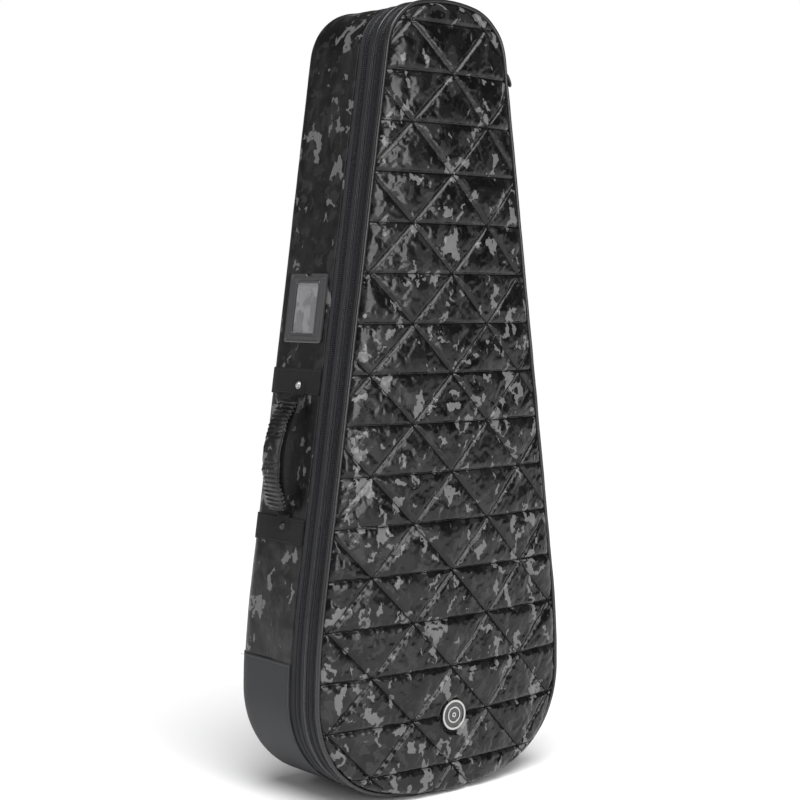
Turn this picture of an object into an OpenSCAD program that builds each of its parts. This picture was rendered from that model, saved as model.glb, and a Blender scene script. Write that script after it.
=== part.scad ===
// Padded gig bag for an acoustic guitar, standing upright.
// Millimetres. X is across, -Y is the quilted front, +Z is up. The origin is
// the middle of the flattened underside, centred on the overall depth.
// "Inset" is the distance inwards from the bag's outermost outline.

/* [Bag] */
// Height from the flattened underside to the top of the round end
body_h = 1127; // [1080:1:1180]
// Greatest width, low down
body_w = 459; // [445:1:475]
// Radius of the gentle curve across the top end
end_r = 237; // [210:1:260]
// Radius of the top end's shoulders
shoulder_r = 80; // [76:1:84]
// Distance of each shoulder's centre from the middle
shoulder_x = 33; // [30:1:36]
// Lean of the straight sides from the vertical, degrees
taper = 8; // [7.8:0.1:8.3]
// Radius of the gentle curve below the straight sides
side_r = 1000; // [950:10:1050]
// Radius of the bottom corners
corner_r = 141; // [138:1:143]
// How far the round bottom is flattened where it stands
flat_cut = 3; // [2:0.5:4]

/* [Depth] */
// Depth from the front piping to the back panel
case_d = 195; // [185:1:210]
// Rise of the quilted front above its piping
crown = 22; // [18:1:26]
// Width of the pocket zip band
pocket_band = 27; // [24:1:30]
// Width of the main zip band
main_band = 33; // [30:1:36]

/* [Padding] */
// Thickness of the foam in the walls
foam_t = 10; // [8:1:12]
// Thickness of the outer fabric
skin_t = 2; // [1.5:0.5:2.5]
// Thickness of the lining
lining_t = 0.8; // [0.6:0.1:1]

/* [Boot] */
// Height of the hard-wearing boot round the bottom of the wall
boot_h = 203; // [190:1:215]

/* [Handle] */
// Height of the middle of the carrying handle
handle_z = 487; // [475:1:500]
// Distance between the handle's ends
handle_span = 169; // [160:1:175]
// Rise of the handle above the line through its ends
handle_rise = 26; // [24:1:26]
// Width of the handle's grip
grip_w = 34; // [26:1:38]
// Width of the webbing bands
band_w = 38; // [36:1:40]

/* [Label window] */
// Height of the label window's middle
label_z = 694; // [680:1:710]
// Height of the label frame
label_h = 98; // [92:1:104]
// Width of the label frame
label_w = 85; // [80:1:88]

/* [Badge] */
// Diameter of the round badge
badge_dia = 43; // [38:1:48]
// Height of the badge's middle
badge_z = 113; // [105:1:120]

/* [Zip pulls] */
// Distance between the upper and the lower slider
slider_gap = 52; // [50:1:60]
// Length of a pull's wire loop
loop_l = 20; // [18:1:20]
// Length of a pull's moulded grip
pull_l = 21; // [18:1:21]
// Lean of the upper pull away from the side, degrees
upper_lean = 16; // [4:1:20]
// Lean of the lower pull away from the side, degrees
lower_lean = 7; // [4:1:20]

/* [Back] */
// Thickness of the padded shoulder straps
strap_t = 14; // [12:1:14]
// Width of the padded shoulder straps
strap_w = 66; // [60:1:70]

/* [Hidden] */
$fn = 48;

// Insets of the layers of the wall
boot_t = 1.4;
gap = 0.2;
skin_in = 1.5;
foam_in = skin_in + skin_t + gap;
lining_in = foam_in + foam_t + gap;
clear_in = lining_in + lining_t;
tape_in = 2.2;
tape_t = 1.2;
coil_in = 0.6;
coil_half = 3;
piping_in = 1;
piping_t = 3;
panel_in = tape_in + tape_t + gap;

// Stations along the depth
badge_t = 3;
rear_t = strap_t + 2;
y_edge = -(case_d + rear_t - crown - badge_t) / 2;
y_apex = y_edge - crown;
y_pocket = y_edge + pocket_band / 2;
y_middle = y_edge + pocket_band;
y_main = y_middle + main_band / 2;
y_wall = y_middle + main_band;
y_back = y_edge + case_d;
y_side = (y_wall + y_back) / 2;
split = 0.3;

// Outline: arcs that meet in tangents, each named by the angle of its outward
// normal from straight up
side_a = 90 - taper;
end_cz = body_h - end_r;
end_a = asin(shoulder_x / (end_r - shoulder_r));
shoulder_z = end_cz + (end_r - shoulder_r) * cos(end_a);
side_x0 = shoulder_x + shoulder_r * sin(side_a);
side_z0 = shoulder_z + shoulder_r * cos(side_a);
side_cx = body_w / 2 - side_r;
side_cz = side_z0 - (side_r + (side_cx - side_x0) * sin(side_a)) / cos(side_a);
corner_cx = body_w / 2 - corner_r;
corner_dz = side_cz + flat_cut;
bottom_r = (pow(corner_cx, 2) + pow(corner_dz, 2) - pow(corner_r, 2)) / (2 * (corner_dz - corner_r));
bottom_cz = bottom_r - flat_cut;
bottom_a = 180 - asin(corner_cx / (bottom_r - corner_r));

// Crowned front
crown_r = (pow(body_w / 2, 2) + pow(crown, 2)) / (2 * crown);

// Fabric hinges on the right side
hinge_low = 250;
hinge_high = 628;
strip_w = 9;

// Sliders
slider_l = 15;
slider_front = 5.5;
slider_back = 6.5;
plate_out = 1.8;
plate_t = 2;
bar_out = 5.6;
bar_r = 0.9;

// Handle and label sit a little forward of the wall's middle
grip_y = 16;
label_y = 20;
axis_out = 5;
band_offset = handle_span / 2 + 1.5 + band_w / 2;
handle_r = (pow(handle_span / 2, 2) + pow(handle_rise, 2)) / (2 * handle_rise);
handle_a = asin(handle_span / 2 / handle_r);
grip_a = 26.5;
core_w = 12;
core_t = 4;
grip_t = 12;
tab_t = 2.4;

// Inside
cradle_z = 799;
cradle_h = 60;
neck_r = 32;
neck_strap_l = 156;

// Back
strap_top = 809;
strap_low = 405;
strap_x = 62;
strap_lean = 3;
webbing_w = 25;
webbing_t = 1.5;
webbing_l = 214;
webbing_lean = 12;
lock_x = 87;
lock_z = 389;
lock_h = 28;
yoke_z = 854;
yoke_w = 180;
yoke_h = 60;
loop_z = 1030;
loop_r = 8;

function arc_points(cx, cz, r, a0, a1, first, n) =
    [for (i = [first:n]) let (a = a0 + (a1 - a0) * i / n) [cx + r * sin(a), cz + r * cos(a)]];

function half_outline(inset) = concat(
    arc_points(0, end_cz, end_r - inset, 0, end_a, 0, 3),
    arc_points(shoulder_x, shoulder_z, shoulder_r - inset, end_a, side_a, 1, 12),
    arc_points(side_cx, side_cz, side_r - inset, side_a, 90, 0, 3),
    arc_points(corner_cx, side_cz, corner_r - inset, 90, bottom_a, 1, 12),
    arc_points(0, bottom_cz, bottom_r - inset, bottom_a, 180, 1, 6));

function outline(inset) =
    let (half = [for (p = half_outline(inset)) [p.x, max(p.y, inset)]])
    concat(half, [for (i = [len(half) - 2:-1:1]) [-half[i].x, half[i].y]]);

// Half width of the straight side at a height
function side_x(z) = side_x0 + (side_z0 - z) * tan(taper);

// The whole outline, from depth y0 to y1
module slab(inset, y0, y1) {
    translate([0, y1, 0]) rotate([90, 0, 0]) linear_extrude(y1 - y0) polygon(outline(inset));
}

// A wall that follows the outline
module ring(inset, thick, y0, y1) {
    difference() {
        slab(inset, y0, y1);
        slab(inset + thick, y0 - 1, y1 + 1);
    }
}

// Local frame on the straight right side: +X outwards, +Z up along the side
module right_side(z) {
    translate([side_x(z), 0, z]) rotate([0, -taper, 0]) children();
}

module left_side(z) {
    mirror([1, 0, 0]) right_side(z) children();
}

// The stretch of the right side that the fabric hinges take
module hinge_stretch(y0, y1) {
    translate([body_w / 4, y0, hinge_low]) cube([body_w, y1 - y0, hinge_high - hinge_low]);
}

module rounded(w, h, r) {
    square([w - 2 * r, h], center = true);
    square([w, h - 2 * r], center = true);
    for (x = [-1, 1], y = [-1, 1]) translate([x * (w / 2 - r), y * (h / 2 - r)]) circle(r);
}

// A rounded plate that faces outwards in a side's local frame
module side_plate(x0, x1, w, h, r) {
    translate([x0, label_y, 0]) rotate([90, 0, 90]) linear_extrude(x1 - x0) rounded(w, h, r);
}

// ---- padded walls ----

module back_skin() {
    color("#2b2b2c") slab(skin_in, y_back - skin_t, y_back);
}

module back_foam() {
    color("#5d5d60") slab(foam_in, y_back - skin_t - foam_t - gap, y_back - skin_t - gap);
}

module back_lining() {
    y1 = y_back - skin_t - foam_t - 2 * gap;
    color("#3c3d42") slab(foam_in, y1 - lining_t, y1);
}

module gusset_skin() {
    color("#2f2f30") ring(skin_in, skin_t, y_wall, y_back - skin_t);
}

module gusset_foam() {
    y1 = y_back - skin_t - foam_t - lining_t - 3 * gap;
    color("#5d5d60") ring(foam_in, foam_t, y_wall, y1);
}

module gusset_lining() {
    y1 = y_back - skin_t - foam_t - lining_t - 3 * gap;
    color("#3c3d42") ring(lining_in, lining_t, y_wall, y1);
}

module boot() {
    color("#3b3d42") intersection() {
        ring(0, boot_t, y_wall + 2, y_back);
        translate([-body_w, -body_w, -1]) cube([2 * body_w, 2 * body_w, boot_h + 1]);
    }
}

// ---- zips ----

module zip_tape(y0, y1) {
    color("#202024") ring(tape_in, tape_t, y0, y1);
}

module zip_coil(y0, y1) {
    color("#0f0f12") difference() {
        ring(coil_in, tape_in - coil_in, y0, y1);
        hinge_stretch(y0 - 1, y1 + 1);
    }
}

module hinge_strip(y0) {
    color("#1a1a1d") intersection() {
        ring(coil_in, tape_in - coil_in, y0, y0 + strip_w);
        hinge_stretch(y0 - 1, y0 + strip_w + 1);
    }
}

module piping(y) {
    color("#161617") ring(piping_in, piping_t, y - 2, y + 2);
}

module main_zip_back_tape() {
    zip_tape(y_main + split / 2, y_wall);
}

module main_zip_back_coil() {
    zip_coil(y_main + split / 2, y_main + coil_half);
}

module main_hinge_strip() {
    hinge_strip(y_main + split / 2);
}

module main_zip_front_tape() {
    zip_tape(y_middle + 2, y_main - split / 2);
}

module main_zip_front_coil() {
    zip_coil(y_main - coil_half, y_main - split / 2);
}

module pocket_zip_back_tape() {
    zip_tape(y_pocket + split / 2, y_middle - 2);
}

module pocket_zip_back_coil() {
    zip_coil(y_pocket + split / 2, y_pocket + coil_half);
}

module pocket_hinge_strip() {
    hinge_strip(y_pocket + split / 2);
}

module pocket_zip_front_tape() {
    zip_tape(y_edge + 2, y_pocket - split / 2);
}

module pocket_zip_front_coil() {
    zip_coil(y_pocket - coil_half, y_pocket - split / 2);
}

// ---- lid between the main compartment and the front pocket ----

module lid_layer(shade, offset_y, thick) {
    color(shade) slab(panel_in + gap, y_middle + offset_y, y_middle + offset_y + thick);
}

module lid_skin() {
    lid_layer("#3c3d42", -6.2, 1);
}

module lid_foam() {
    color("#5d5d60") slab(panel_in + gap, y_middle - 5, y_middle - 5 + foam_t);
}

module lid_lining() {
    lid_layer("#3c3d42", -5 + foam_t + gap, lining_t);
}

module middle_piping() {
    color("#161617") ring(piping_in, panel_in + gap - piping_in, y_middle - 2, y_middle + 2);
}

// ---- quilted pocket cover ----

module crowned(inset, depth, y1) {
    intersection() {
        slab(inset, y_apex - 5, y1);
        translate([0, y_apex + crown_r, -1]) cylinder(h = body_h + 2, r = crown_r - depth, $fn = 360);
    }
}

module cover_skin() {
    color("#333334") difference() {
        crowned(piping_in + piping_t, 0, y_edge + 2);
        crowned(piping_in + piping_t + skin_t, skin_t, y_edge + 3);
    }
}

module cover_foam() {
    inset = piping_in + piping_t + skin_t + gap;
    depth = skin_t + gap;
    color("#5d5d60") difference() {
        crowned(inset, depth, y_edge + 2);
        crowned(inset + foam_t, depth + foam_t, y_edge + 3);
    }
}

module cover_lining() {
    inset = piping_in + piping_t + skin_t + foam_t + 2 * gap;
    depth = skin_t + foam_t + 2 * gap;
    color("#3c3d42") difference() {
        crowned(inset, depth, y_edge + 2);
        crowned(inset + lining_t, depth + lining_t, y_edge + 3);
    }
}

module front_piping() {
    piping(y_edge);
}

// ---- badge ----

module badge_ring(r, thick, y0, y1) {
    translate([0, y1, badge_z]) rotate([90, 0, 0]) difference() {
        cylinder(h = y1 - y0, r = r);
        translate([0, 0, -1]) cylinder(h = y1 - y0 + 2, r = r - thick);
    }
}

module badge_rim() {
    color("silver") badge_ring(badge_dia / 2, 3, y_apex - badge_t, y_apex);
}

module badge_disc() {
    color("#1d1d20") translate([0, y_apex, badge_z]) rotate([90, 0, 0])
        cylinder(h = badge_t - 1.4, r = badge_dia / 2 - 3);
}

module badge_emblem() {
    color("silver") {
        badge_ring(badge_dia / 4 + 1, 2, y_apex - badge_t + 0.4, y_apex - badge_t + 1.4);
        badge_ring(badge_dia / 12, badge_dia / 24, y_apex - badge_t + 0.4, y_apex - badge_t + 1.4);
    }
}

// ---- things on the left wall ----

module handle_bands() {
    color("#19191b") for (s = [-1, 1]) left_side(handle_z)
        translate([-skin_in, y_wall + 1, s * band_offset - band_w / 2])
            cube([skin_in, y_back - y_wall - 2, band_w]);
}

module handle_anchors() {
    color("#19191b") for (s = [-1, 1]) left_side(handle_z) {
        translate([0, grip_y - core_w / 2, s * (handle_span / 2 + 15) - 12]) cube([tab_t, core_w, 24]);
        translate([tab_t, grip_y - core_w / 2, s * (handle_span / 2 + 5) - 1.5]) cube([6, core_w, 3]);
    }
}

module rivets() {
    color("silver") for (s = [-1, 1]) left_side(handle_z)
        translate([tab_t, grip_y, s * (handle_span / 2 + 18)]) rotate([0, 90, 0])
            rotate_extrude() polygon([[0, 0], [4.5, 0], [4.2, 0.9], [3, 1.6], [0, 1.9]]);
}

module label_frame() {
    color("#3a3a3e") left_side(label_z) difference() {
        side_plate(-skin_in, 0.9, label_w, label_h, 5);
        side_plate(-skin_in - 1, 2, label_w - 34, label_h - 26, 3);
        translate([-skin_in - 1, label_y - label_w / 2 + 14, -label_h / 2 + 9])
            cube([2.3, label_w - 28, label_h]);
        translate([-0.5, label_y, label_h / 2]) rotate([0, 90, 0]) cylinder(h = 3, r = 8);
    }
}

module label_film() {
    color([0.7, 0.72, 0.75, 0.4]) left_side(label_z)
        side_plate(0.1, 0.5, label_w - 34, label_h - 26, 3);
}

module label_card() {
    color("#8a8c90") left_side(label_z) side_plate(-0.9, -0.4, label_w - 30, label_h - 20, 2);
}

module handle_arc(half_angle, w, thick) {
    left_side(handle_z) translate([axis_out + handle_rise - handle_r, grip_y, 0])
        rotate([90, 0, 0]) rotate([0, 0, -half_angle]) rotate_extrude(angle = 2 * half_angle, $fn = 180)
            translate([handle_r, 0]) rounded(thick, w, thick * 0.45);
}

module handle_grip() {
    color("#2a2a2b") difference() {
        handle_arc(grip_a, grip_w, grip_t);
        handle_arc(grip_a + 2, core_w + 0.4, core_t + 0.4);
    }
}

module handle_core() {
    color("#19191b") handle_arc(handle_a, core_w, core_t);
}

// ---- inside ----

module inside(z0, z1, y0) {
    intersection() {
        slab(clear_in + gap, y0, y_back - skin_t - foam_t - lining_t - 3 * gap);
        translate([-body_w, -body_w, z0]) cube([2 * body_w, 2 * body_w, z1 - z0]);
    }
}

module neck_cradle() {
    color("#46474c") difference() {
        inside(cradle_z, cradle_z + cradle_h, y_side - 10);
        translate([0, y_side, cradle_z - 10]) cylinder(h = cradle_h + 20, r = neck_r);
        translate([-neck_r, y_side - 60, cradle_z - 10]) cube([2 * neck_r, 60, cradle_h + 20]);
    }
}

module neck_strap() {
    color("#19191b") translate([-neck_strap_l / 2, y_side - 12.2, cradle_z + 11])
        cube([neck_strap_l, 2, band_w]);
}

module end_block() {
    color("#46474c") inside(10, 42, y_wall);
}

module head_pad() {
    color("#46474c") inside(body_h - 36, body_h, y_wall);
}

// ---- back ----

module shoulder_strap(s) {
    color("#2f2f30") translate([s * strap_x, y_back, strap_top]) rotate([0, -s * strap_lean, 0])
        translate([0, strap_t, (strap_low - strap_top) / 2]) rotate([90, 0, 0])
            linear_extrude(strap_t) rounded(strap_w, strap_top - strap_low, 22);
}

module shoulder_strap_left() {
    shoulder_strap(-1);
}

module shoulder_strap_right() {
    shoulder_strap(1);
}

module strap_webbing() {
    color("#19191b") for (s = [-1, 1]) translate([s * lock_x, y_back, lock_z - lock_h / 2])
        rotate([0, -s * webbing_lean, 0]) translate([-webbing_w / 2, 0, -webbing_l])
            cube([webbing_w, webbing_t, webbing_l - 4]);
}

module ladder_locks() {
    color("#202024") for (s = [-1, 1]) translate([s * lock_x, y_back + 3, lock_z]) difference() {
        cube([36, 6, lock_h], center = true);
        for (z = [-7, 7]) translate([0, 0, z]) cube([27, 8, 5], center = true);
    }
}

module strap_yoke() {
    color("#232325") translate([0, y_back + webbing_t, yoke_z]) rotate([90, 0, 0])
        linear_extrude(webbing_t) rounded(yoke_w, yoke_h, 8);
}

module hang_loop() {
    color("#19191b") translate([0, y_back + loop_r, loop_z]) rotate([0, 90, 0])
        difference() {
            cylinder(h = webbing_w, r = loop_r, center = true);
            cylinder(h = webbing_w + 2, r = loop_r - webbing_t, center = true);
        }
}

// ---- sliders and pulls ----

// Drawn in a side's local frame. Its wall is on the half of the zip behind it,
// so the half in front can swing away from under the plate.
module slider(y) {
    color("#77787c") difference() {
        union() {
            translate([plate_out, y - slider_front, -slider_l / 2])
                cube([plate_t, slider_front + slider_back, slider_l]);
            translate([-coil_in - 1, y + slider_back - 1.6, -slider_l / 2])
                cube([plate_out + plate_t + coil_in + 1, 1.6, slider_l]);
            translate([plate_out + plate_t, y - 1.4, -5.5]) cube([4.4, 2.8, 11]);
        }
        translate([plate_out + plate_t - 0.01, y - 3, -3.4]) cube([3.2, 6, 6.8]);
    }
}

module pull_loop(y, lean) {
    color("#8c8d92") translate([bar_out, y, 0]) rotate([0, -lean, 0]) {
        rotate([90, 0, 0]) translate([0, 0, -4]) cylinder(h = 8, r = bar_r, $fn = 24);
        for (s = [-1, 1]) translate([-bar_r, s * 3.4 - 0.7, -loop_l]) cube([2 * bar_r, 1.4, loop_l]);
    }
}

module pull_grip(y, lean) {
    color("#1b1b1d") translate([bar_out, y, 0]) rotate([0, -lean, 0])
        translate([-2.3, 0, -loop_l - pull_l / 2]) rotate([90, 0, 90])
            linear_extrude(4.6) rounded(8.4, pull_l, 4);
}

// Upper sliders stand where the straight side starts
module upper_place() {
    right_side(side_z0) children();
}

module lower_place() {
    right_side(side_z0) translate([0, 0, -slider_gap]) children();
}

module main_slider_upper() {
    upper_place() slider(y_main);
}

module main_slider_lower() {
    lower_place() slider(y_main);
}

module pocket_slider_upper() {
    upper_place() slider(y_pocket);
}

module pocket_slider_lower() {
    lower_place() slider(y_pocket);
}

module main_pull_upper() {
    upper_place() pull_loop(y_main, upper_lean);
}

module main_pull_lower() {
    lower_place() pull_loop(y_main, lower_lean);
}

module pocket_pull_upper() {
    upper_place() pull_loop(y_pocket, upper_lean);
}

module pocket_pull_lower() {
    lower_place() pull_loop(y_pocket, lower_lean);
}

module main_grip_upper() {
    upper_place() pull_grip(y_main, upper_lean);
}

module main_grip_lower() {
    lower_place() pull_grip(y_main, lower_lean);
}

module pocket_grip_upper() {
    upper_place() pull_grip(y_pocket, upper_lean);
}

module pocket_grip_lower() {
    lower_place() pull_grip(y_pocket, lower_lean);
}

back_skin();
back_foam();
back_lining();
gusset_skin();
gusset_foam();
gusset_lining();
boot();
main_zip_back_tape();
main_zip_back_coil();
main_hinge_strip();
handle_bands();
handle_anchors();
rivets();
label_frame();
label_film();
label_card();
neck_cradle();
neck_strap();
end_block();
head_pad();
shoulder_strap_left();
shoulder_strap_right();
strap_webbing();
ladder_locks();
strap_yoke();
hang_loop();
handle_grip();
handle_core();
lid_skin();
lid_foam();
lid_lining();
middle_piping();
main_zip_front_tape();
main_zip_front_coil();
pocket_zip_back_tape();
pocket_zip_back_coil();
pocket_hinge_strip();
cover_skin();
cover_foam();
cover_lining();
front_piping();
pocket_zip_front_tape();
pocket_zip_front_coil();
badge_rim();
badge_disc();
badge_emblem();
main_slider_upper();
main_slider_lower();
pocket_slider_upper();
pocket_slider_lower();
main_pull_upper();
main_pull_lower();
pocket_pull_upper();
pocket_pull_lower();
main_grip_upper();
main_grip_lower();
pocket_grip_upper();
pocket_grip_lower();
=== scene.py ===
"""Padded gig bag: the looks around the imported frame. Metres, in the frame's own axes."""
import math

import bmesh
import bpy
import numpy as np
from mathutils import Matrix, Vector


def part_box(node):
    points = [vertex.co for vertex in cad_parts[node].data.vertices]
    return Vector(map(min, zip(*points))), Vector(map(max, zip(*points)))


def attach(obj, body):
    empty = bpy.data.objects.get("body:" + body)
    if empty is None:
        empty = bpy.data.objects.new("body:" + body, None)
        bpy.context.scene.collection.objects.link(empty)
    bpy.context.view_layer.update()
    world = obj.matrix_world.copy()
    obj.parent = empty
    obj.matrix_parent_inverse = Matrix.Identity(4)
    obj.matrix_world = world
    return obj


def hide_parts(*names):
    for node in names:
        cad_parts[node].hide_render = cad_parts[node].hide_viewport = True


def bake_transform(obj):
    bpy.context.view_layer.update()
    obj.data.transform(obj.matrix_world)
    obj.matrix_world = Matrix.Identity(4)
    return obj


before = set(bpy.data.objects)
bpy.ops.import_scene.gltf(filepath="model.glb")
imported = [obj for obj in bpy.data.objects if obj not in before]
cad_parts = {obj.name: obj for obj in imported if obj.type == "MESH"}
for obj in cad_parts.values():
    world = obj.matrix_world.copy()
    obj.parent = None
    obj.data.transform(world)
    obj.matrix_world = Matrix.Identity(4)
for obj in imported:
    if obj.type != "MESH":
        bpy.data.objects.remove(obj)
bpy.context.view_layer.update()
MM = 0.001

# ---- the bag's outline, as in the frame ----
BODY_W = 459 * MM
BODY_H = 1127 * MM
END_R = 237 * MM
SHOULDER_R = 80 * MM
SHOULDER_X = 33 * MM
TAPER = math.radians(8.0)
SIDE_R = 1000 * MM
CORNER_R = 141 * MM
FLAT_CUT = 3 * MM
CROWN = 22 * MM
SOFT_TOP = 800 * MM       # above this height the soft back draws in

def box_middle(node):
    """The middle of a frame node's box."""
    low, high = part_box(node)
    return (low + high) / 2


# ---- stations along the depth, read from the frame ----
Y_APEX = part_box("badge_rim")[1].y
Y_EDGE = box_middle("front_piping").y
Y_MIDDLE = box_middle("middle_piping").y
SPLIT = 0.3 * MM
Y_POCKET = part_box("pocket_zip_front_tape")[1].y + SPLIT / 2
Y_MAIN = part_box("main_zip_front_tape")[1].y + SPLIT / 2
Y_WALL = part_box("gusset_skin")[0].y
Y_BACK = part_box("back_skin")[1].y
GRIP_Y = box_middle("handle_grip").y
LABEL_Y = box_middle("label_film").y
BOOT_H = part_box("boot")[1].z
HINGE_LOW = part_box("main_hinge_strip")[0].z
HINGE_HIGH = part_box("main_hinge_strip")[1].z

# ---- insets of the layers from the outermost outline ----
SKIN_IN = 1.5 * MM
FOAM_IN = 3.9 * MM
LINING_IN = 13.9 * MM
REAR_TURN = 34 * MM
TAPE_IN = 2.2 * MM
TAPE_T = 1.2 * MM
COIL_IN = 0.6 * MM
COIL_HALF = 3 * MM

# ---- quilting ----
ROW = 70 * MM
ROW_Z = 533 * MM
ROW_X = -2.3 * MM

# ---- left side details ----
HANDLE_Z = 487 * MM
HANDLE_SPAN = 169 * MM
HANDLE_RISE = 26 * MM
AXIS_OUT = 5 * MM
GRIP_W = 40 * MM
BAND_W = 38 * MM
LABEL_Z = 694 * MM
LABEL_W = 85 * MM
LABEL_H = 98 * MM

# ---- back ----
BACK_CHANNELS = (300 * MM, 930 * MM)
WEBBING_W = 25 * MM
STRAP_LEAN = math.radians(3)
WEBBING_LEAN = math.radians(12)

# ---- camera and lights ----
CAMERA_TURN = math.radians(-39.94)
CAMERA_RISE = math.radians(3.51)
CAMERA_ROLL = math.radians(0.27)
CAMERA_AT = (-1.614, Y_APEX - 1.806, ROW_Z + 0.180)
LENS = 76.96
LIGHTS_AIM = Vector((0, 0, 550 * MM))


# =====================================================================
# Numbers: outline, noise
# =====================================================================

def ease(t):
    """A smooth step from 0 to 1."""
    t = np.clip(t, 0, 1)
    return t * t * (3 - 2 * t)


def unit_rows(a):
    """Each row scaled to length 1."""
    return a / np.maximum(np.linalg.norm(a, axis=1, keepdims=True), 1e-12)


def same_way(direction, count):
    """One direction, repeated for each of count places."""
    return np.repeat([[float(part) for part in direction]], count, 0)


def signed_power(value, power):
    """A power that keeps its base's sign, for rounded-off sections."""
    return math.copysign(abs(value) ** power, value)


def axes_matrix(x, y, z, origin):
    """A local frame from its three axes and its origin."""
    m = Matrix((x, y, z)).transposed().to_4x4()
    m.translation = origin
    return m


def arc(cx, cz, r, a0, a1):
    """Points and outward normals of an arc; angles run clockwise from straight up."""
    n = max(2, int(abs(a1 - a0) * r / (1.5 * MM)))
    a = np.linspace(a0, a1, n, endpoint=False)
    normal = np.stack([np.sin(a), np.cos(a)], 1)
    return np.array([cx, cz]) + r * normal, normal


SHOULDER_Z = BODY_H - END_R + math.sqrt((END_R - SHOULDER_R) ** 2 - SHOULDER_X ** 2)
SIDE_TOP_X = SHOULDER_X + SHOULDER_R * math.cos(TAPER)
SIDE_TOP_Z = SHOULDER_Z + SHOULDER_R * math.sin(TAPER)


def base_outline(count):
    """Evenly spaced points and outward normals round the bag, clockwise from the top."""
    side_a = math.pi / 2 - TAPER
    end_a = math.asin(SHOULDER_X / (END_R - SHOULDER_R))
    x0, z0 = SIDE_TOP_X, SIDE_TOP_Z
    side_cx = BODY_W / 2 - SIDE_R
    side_cz = z0 - (SIDE_R + (side_cx - x0) * math.sin(side_a)) / math.cos(side_a)
    corner_cx = BODY_W / 2 - CORNER_R
    rise = side_cz + FLAT_CUT
    bottom_r = (corner_cx ** 2 + rise ** 2 - CORNER_R ** 2) / (2 * (rise - CORNER_R))
    bottom_a = math.pi - math.asin(corner_cx / (bottom_r - CORNER_R))
    parts = [
        arc(0, BODY_H - END_R, END_R, 0, end_a),
        arc(SHOULDER_X, SHOULDER_Z, SHOULDER_R, end_a, side_a),
        arc(side_cx, side_cz, SIDE_R, side_a, math.pi / 2),
        arc(corner_cx, side_cz, CORNER_R, math.pi / 2, bottom_a),
        arc(0, bottom_r - FLAT_CUT, bottom_r, bottom_a, math.pi)]
    points = np.concatenate([p for p, _ in parts] + [[[0, -FLAT_CUT]]])
    normals = np.concatenate([n for _, n in parts] + [[[0, -1]]])
    flip = np.array([-1, 1])
    points = np.concatenate([points, (points * flip)[::-1]])
    normals = np.concatenate([normals, (normals * flip)[::-1]])
    run = np.concatenate([[0], np.cumsum(np.linalg.norm(np.diff(points, axis=0), axis=1))])
    keep = np.concatenate([[True], np.diff(run) > 1e-9])
    run, points, normals = run[keep], points[keep], normals[keep]
    s = np.linspace(0, run[-1], count, endpoint=False)
    p = np.stack([np.interp(s, run, points[:, k]) for k in (0, 1)], 1)
    n = np.stack([np.interp(s, run, normals[:, k]) for k in (0, 1)], 1)
    return p, unit_rows(n), s, run[-1]


RING_COUNT = 900
RING_P, RING_N, RING_S, PERIMETER = base_outline(RING_COUNT)


def side_x(z):
    """Half width of the bag where its sides are straight."""
    return SIDE_TOP_X + (SIDE_TOP_Z - z) * math.tan(TAPER)


def value_noise(x, y, seed, size=64):
    """Smooth noise from -1 to 1, one lattice cell per unit."""
    table = np.random.default_rng(seed).uniform(-1, 1, (size, size))
    xi, yi = np.floor(x).astype(int), np.floor(y).astype(int)
    fx, fy = ease(x - xi), ease(y - yi)
    a = table[xi % size, yi % size]
    b = table[(xi + 1) % size, yi % size]
    c = table[xi % size, (yi + 1) % size]
    d = table[(xi + 1) % size, (yi + 1) % size]
    return (a * (1 - fx) + b * fx) * (1 - fy) + (c * (1 - fx) + d * fx) * fy


def fractal(x, y, seed, octaves=3):
    """Noise with finer and weaker layers on top."""
    return sum(value_noise(x * 2 ** k, y * 2 ** k, seed + k) * 0.5 ** k for k in range(octaves))


# =====================================================================
# Mesh helpers
# =====================================================================

def grid_faces(rows, cols, closed_rows=False):
    """Quads of a tube: each of its rows is a closed loop of cols points."""
    last = rows if closed_rows else rows - 1
    i, k = np.meshgrid(np.arange(last), np.arange(cols), indexing="ij")
    i2, k2 = (i + 1) % rows, (k + 1) % cols
    quads = np.stack([i * cols + k, i2 * cols + k, i2 * cols + k2, i * cols + k2], 2)
    return quads.reshape(-1, 4).tolist()


def end_caps(rows, cols):
    """The two faces that close the ends of a tube from grid_faces, turned the same way as its quads."""
    return [list(range(cols)), list(range((rows - 1) * cols, rows * cols))[::-1]]


def grid_quads(rows, cols):
    """Quads of an open grid of rows by cols points."""
    i, k = np.meshgrid(np.arange(rows - 1), np.arange(cols - 1), indexing="ij")
    quads = np.stack([i * cols + k, (i + 1) * cols + k, (i + 1) * cols + k + 1, i * cols + k + 1], 2)
    return quads.reshape(-1, 4)


def patch_faces(nu, nv):
    """Faces of a closed patch: a front grid of nu by nv points, then the same grid behind it."""
    n = nu * nv
    front = grid_quads(nu, nv).tolist()
    back = [[v + n for v in quad[::-1]] for quad in front]
    border = [i * nv for i in range(nu)]
    border += [(nu - 1) * nv + k for k in range(1, nv)]
    border += [i * nv + nv - 1 for i in range(nu - 2, -1, -1)]
    border += list(range(nv - 2, 0, -1))
    return front + back + [(a, a + n, b + n, b) for a, b in zip(border, border[1:] + border[:1])]


def mesh_edit(mesh, edit):
    """Runs edit on a mesh through BMesh."""
    bm = bmesh.new()
    bm.from_mesh(mesh)
    edit(bm)
    bm.to_mesh(mesh)
    bm.free()


def smooth_shade(obj, smooth=True):
    obj.data.polygons.foreach_set("use_smooth", [smooth] * len(obj.data.polygons))


def link_object(name, data):
    obj = bpy.data.objects.new(name, data)
    bpy.context.scene.collection.objects.link(obj)
    return obj


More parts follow.
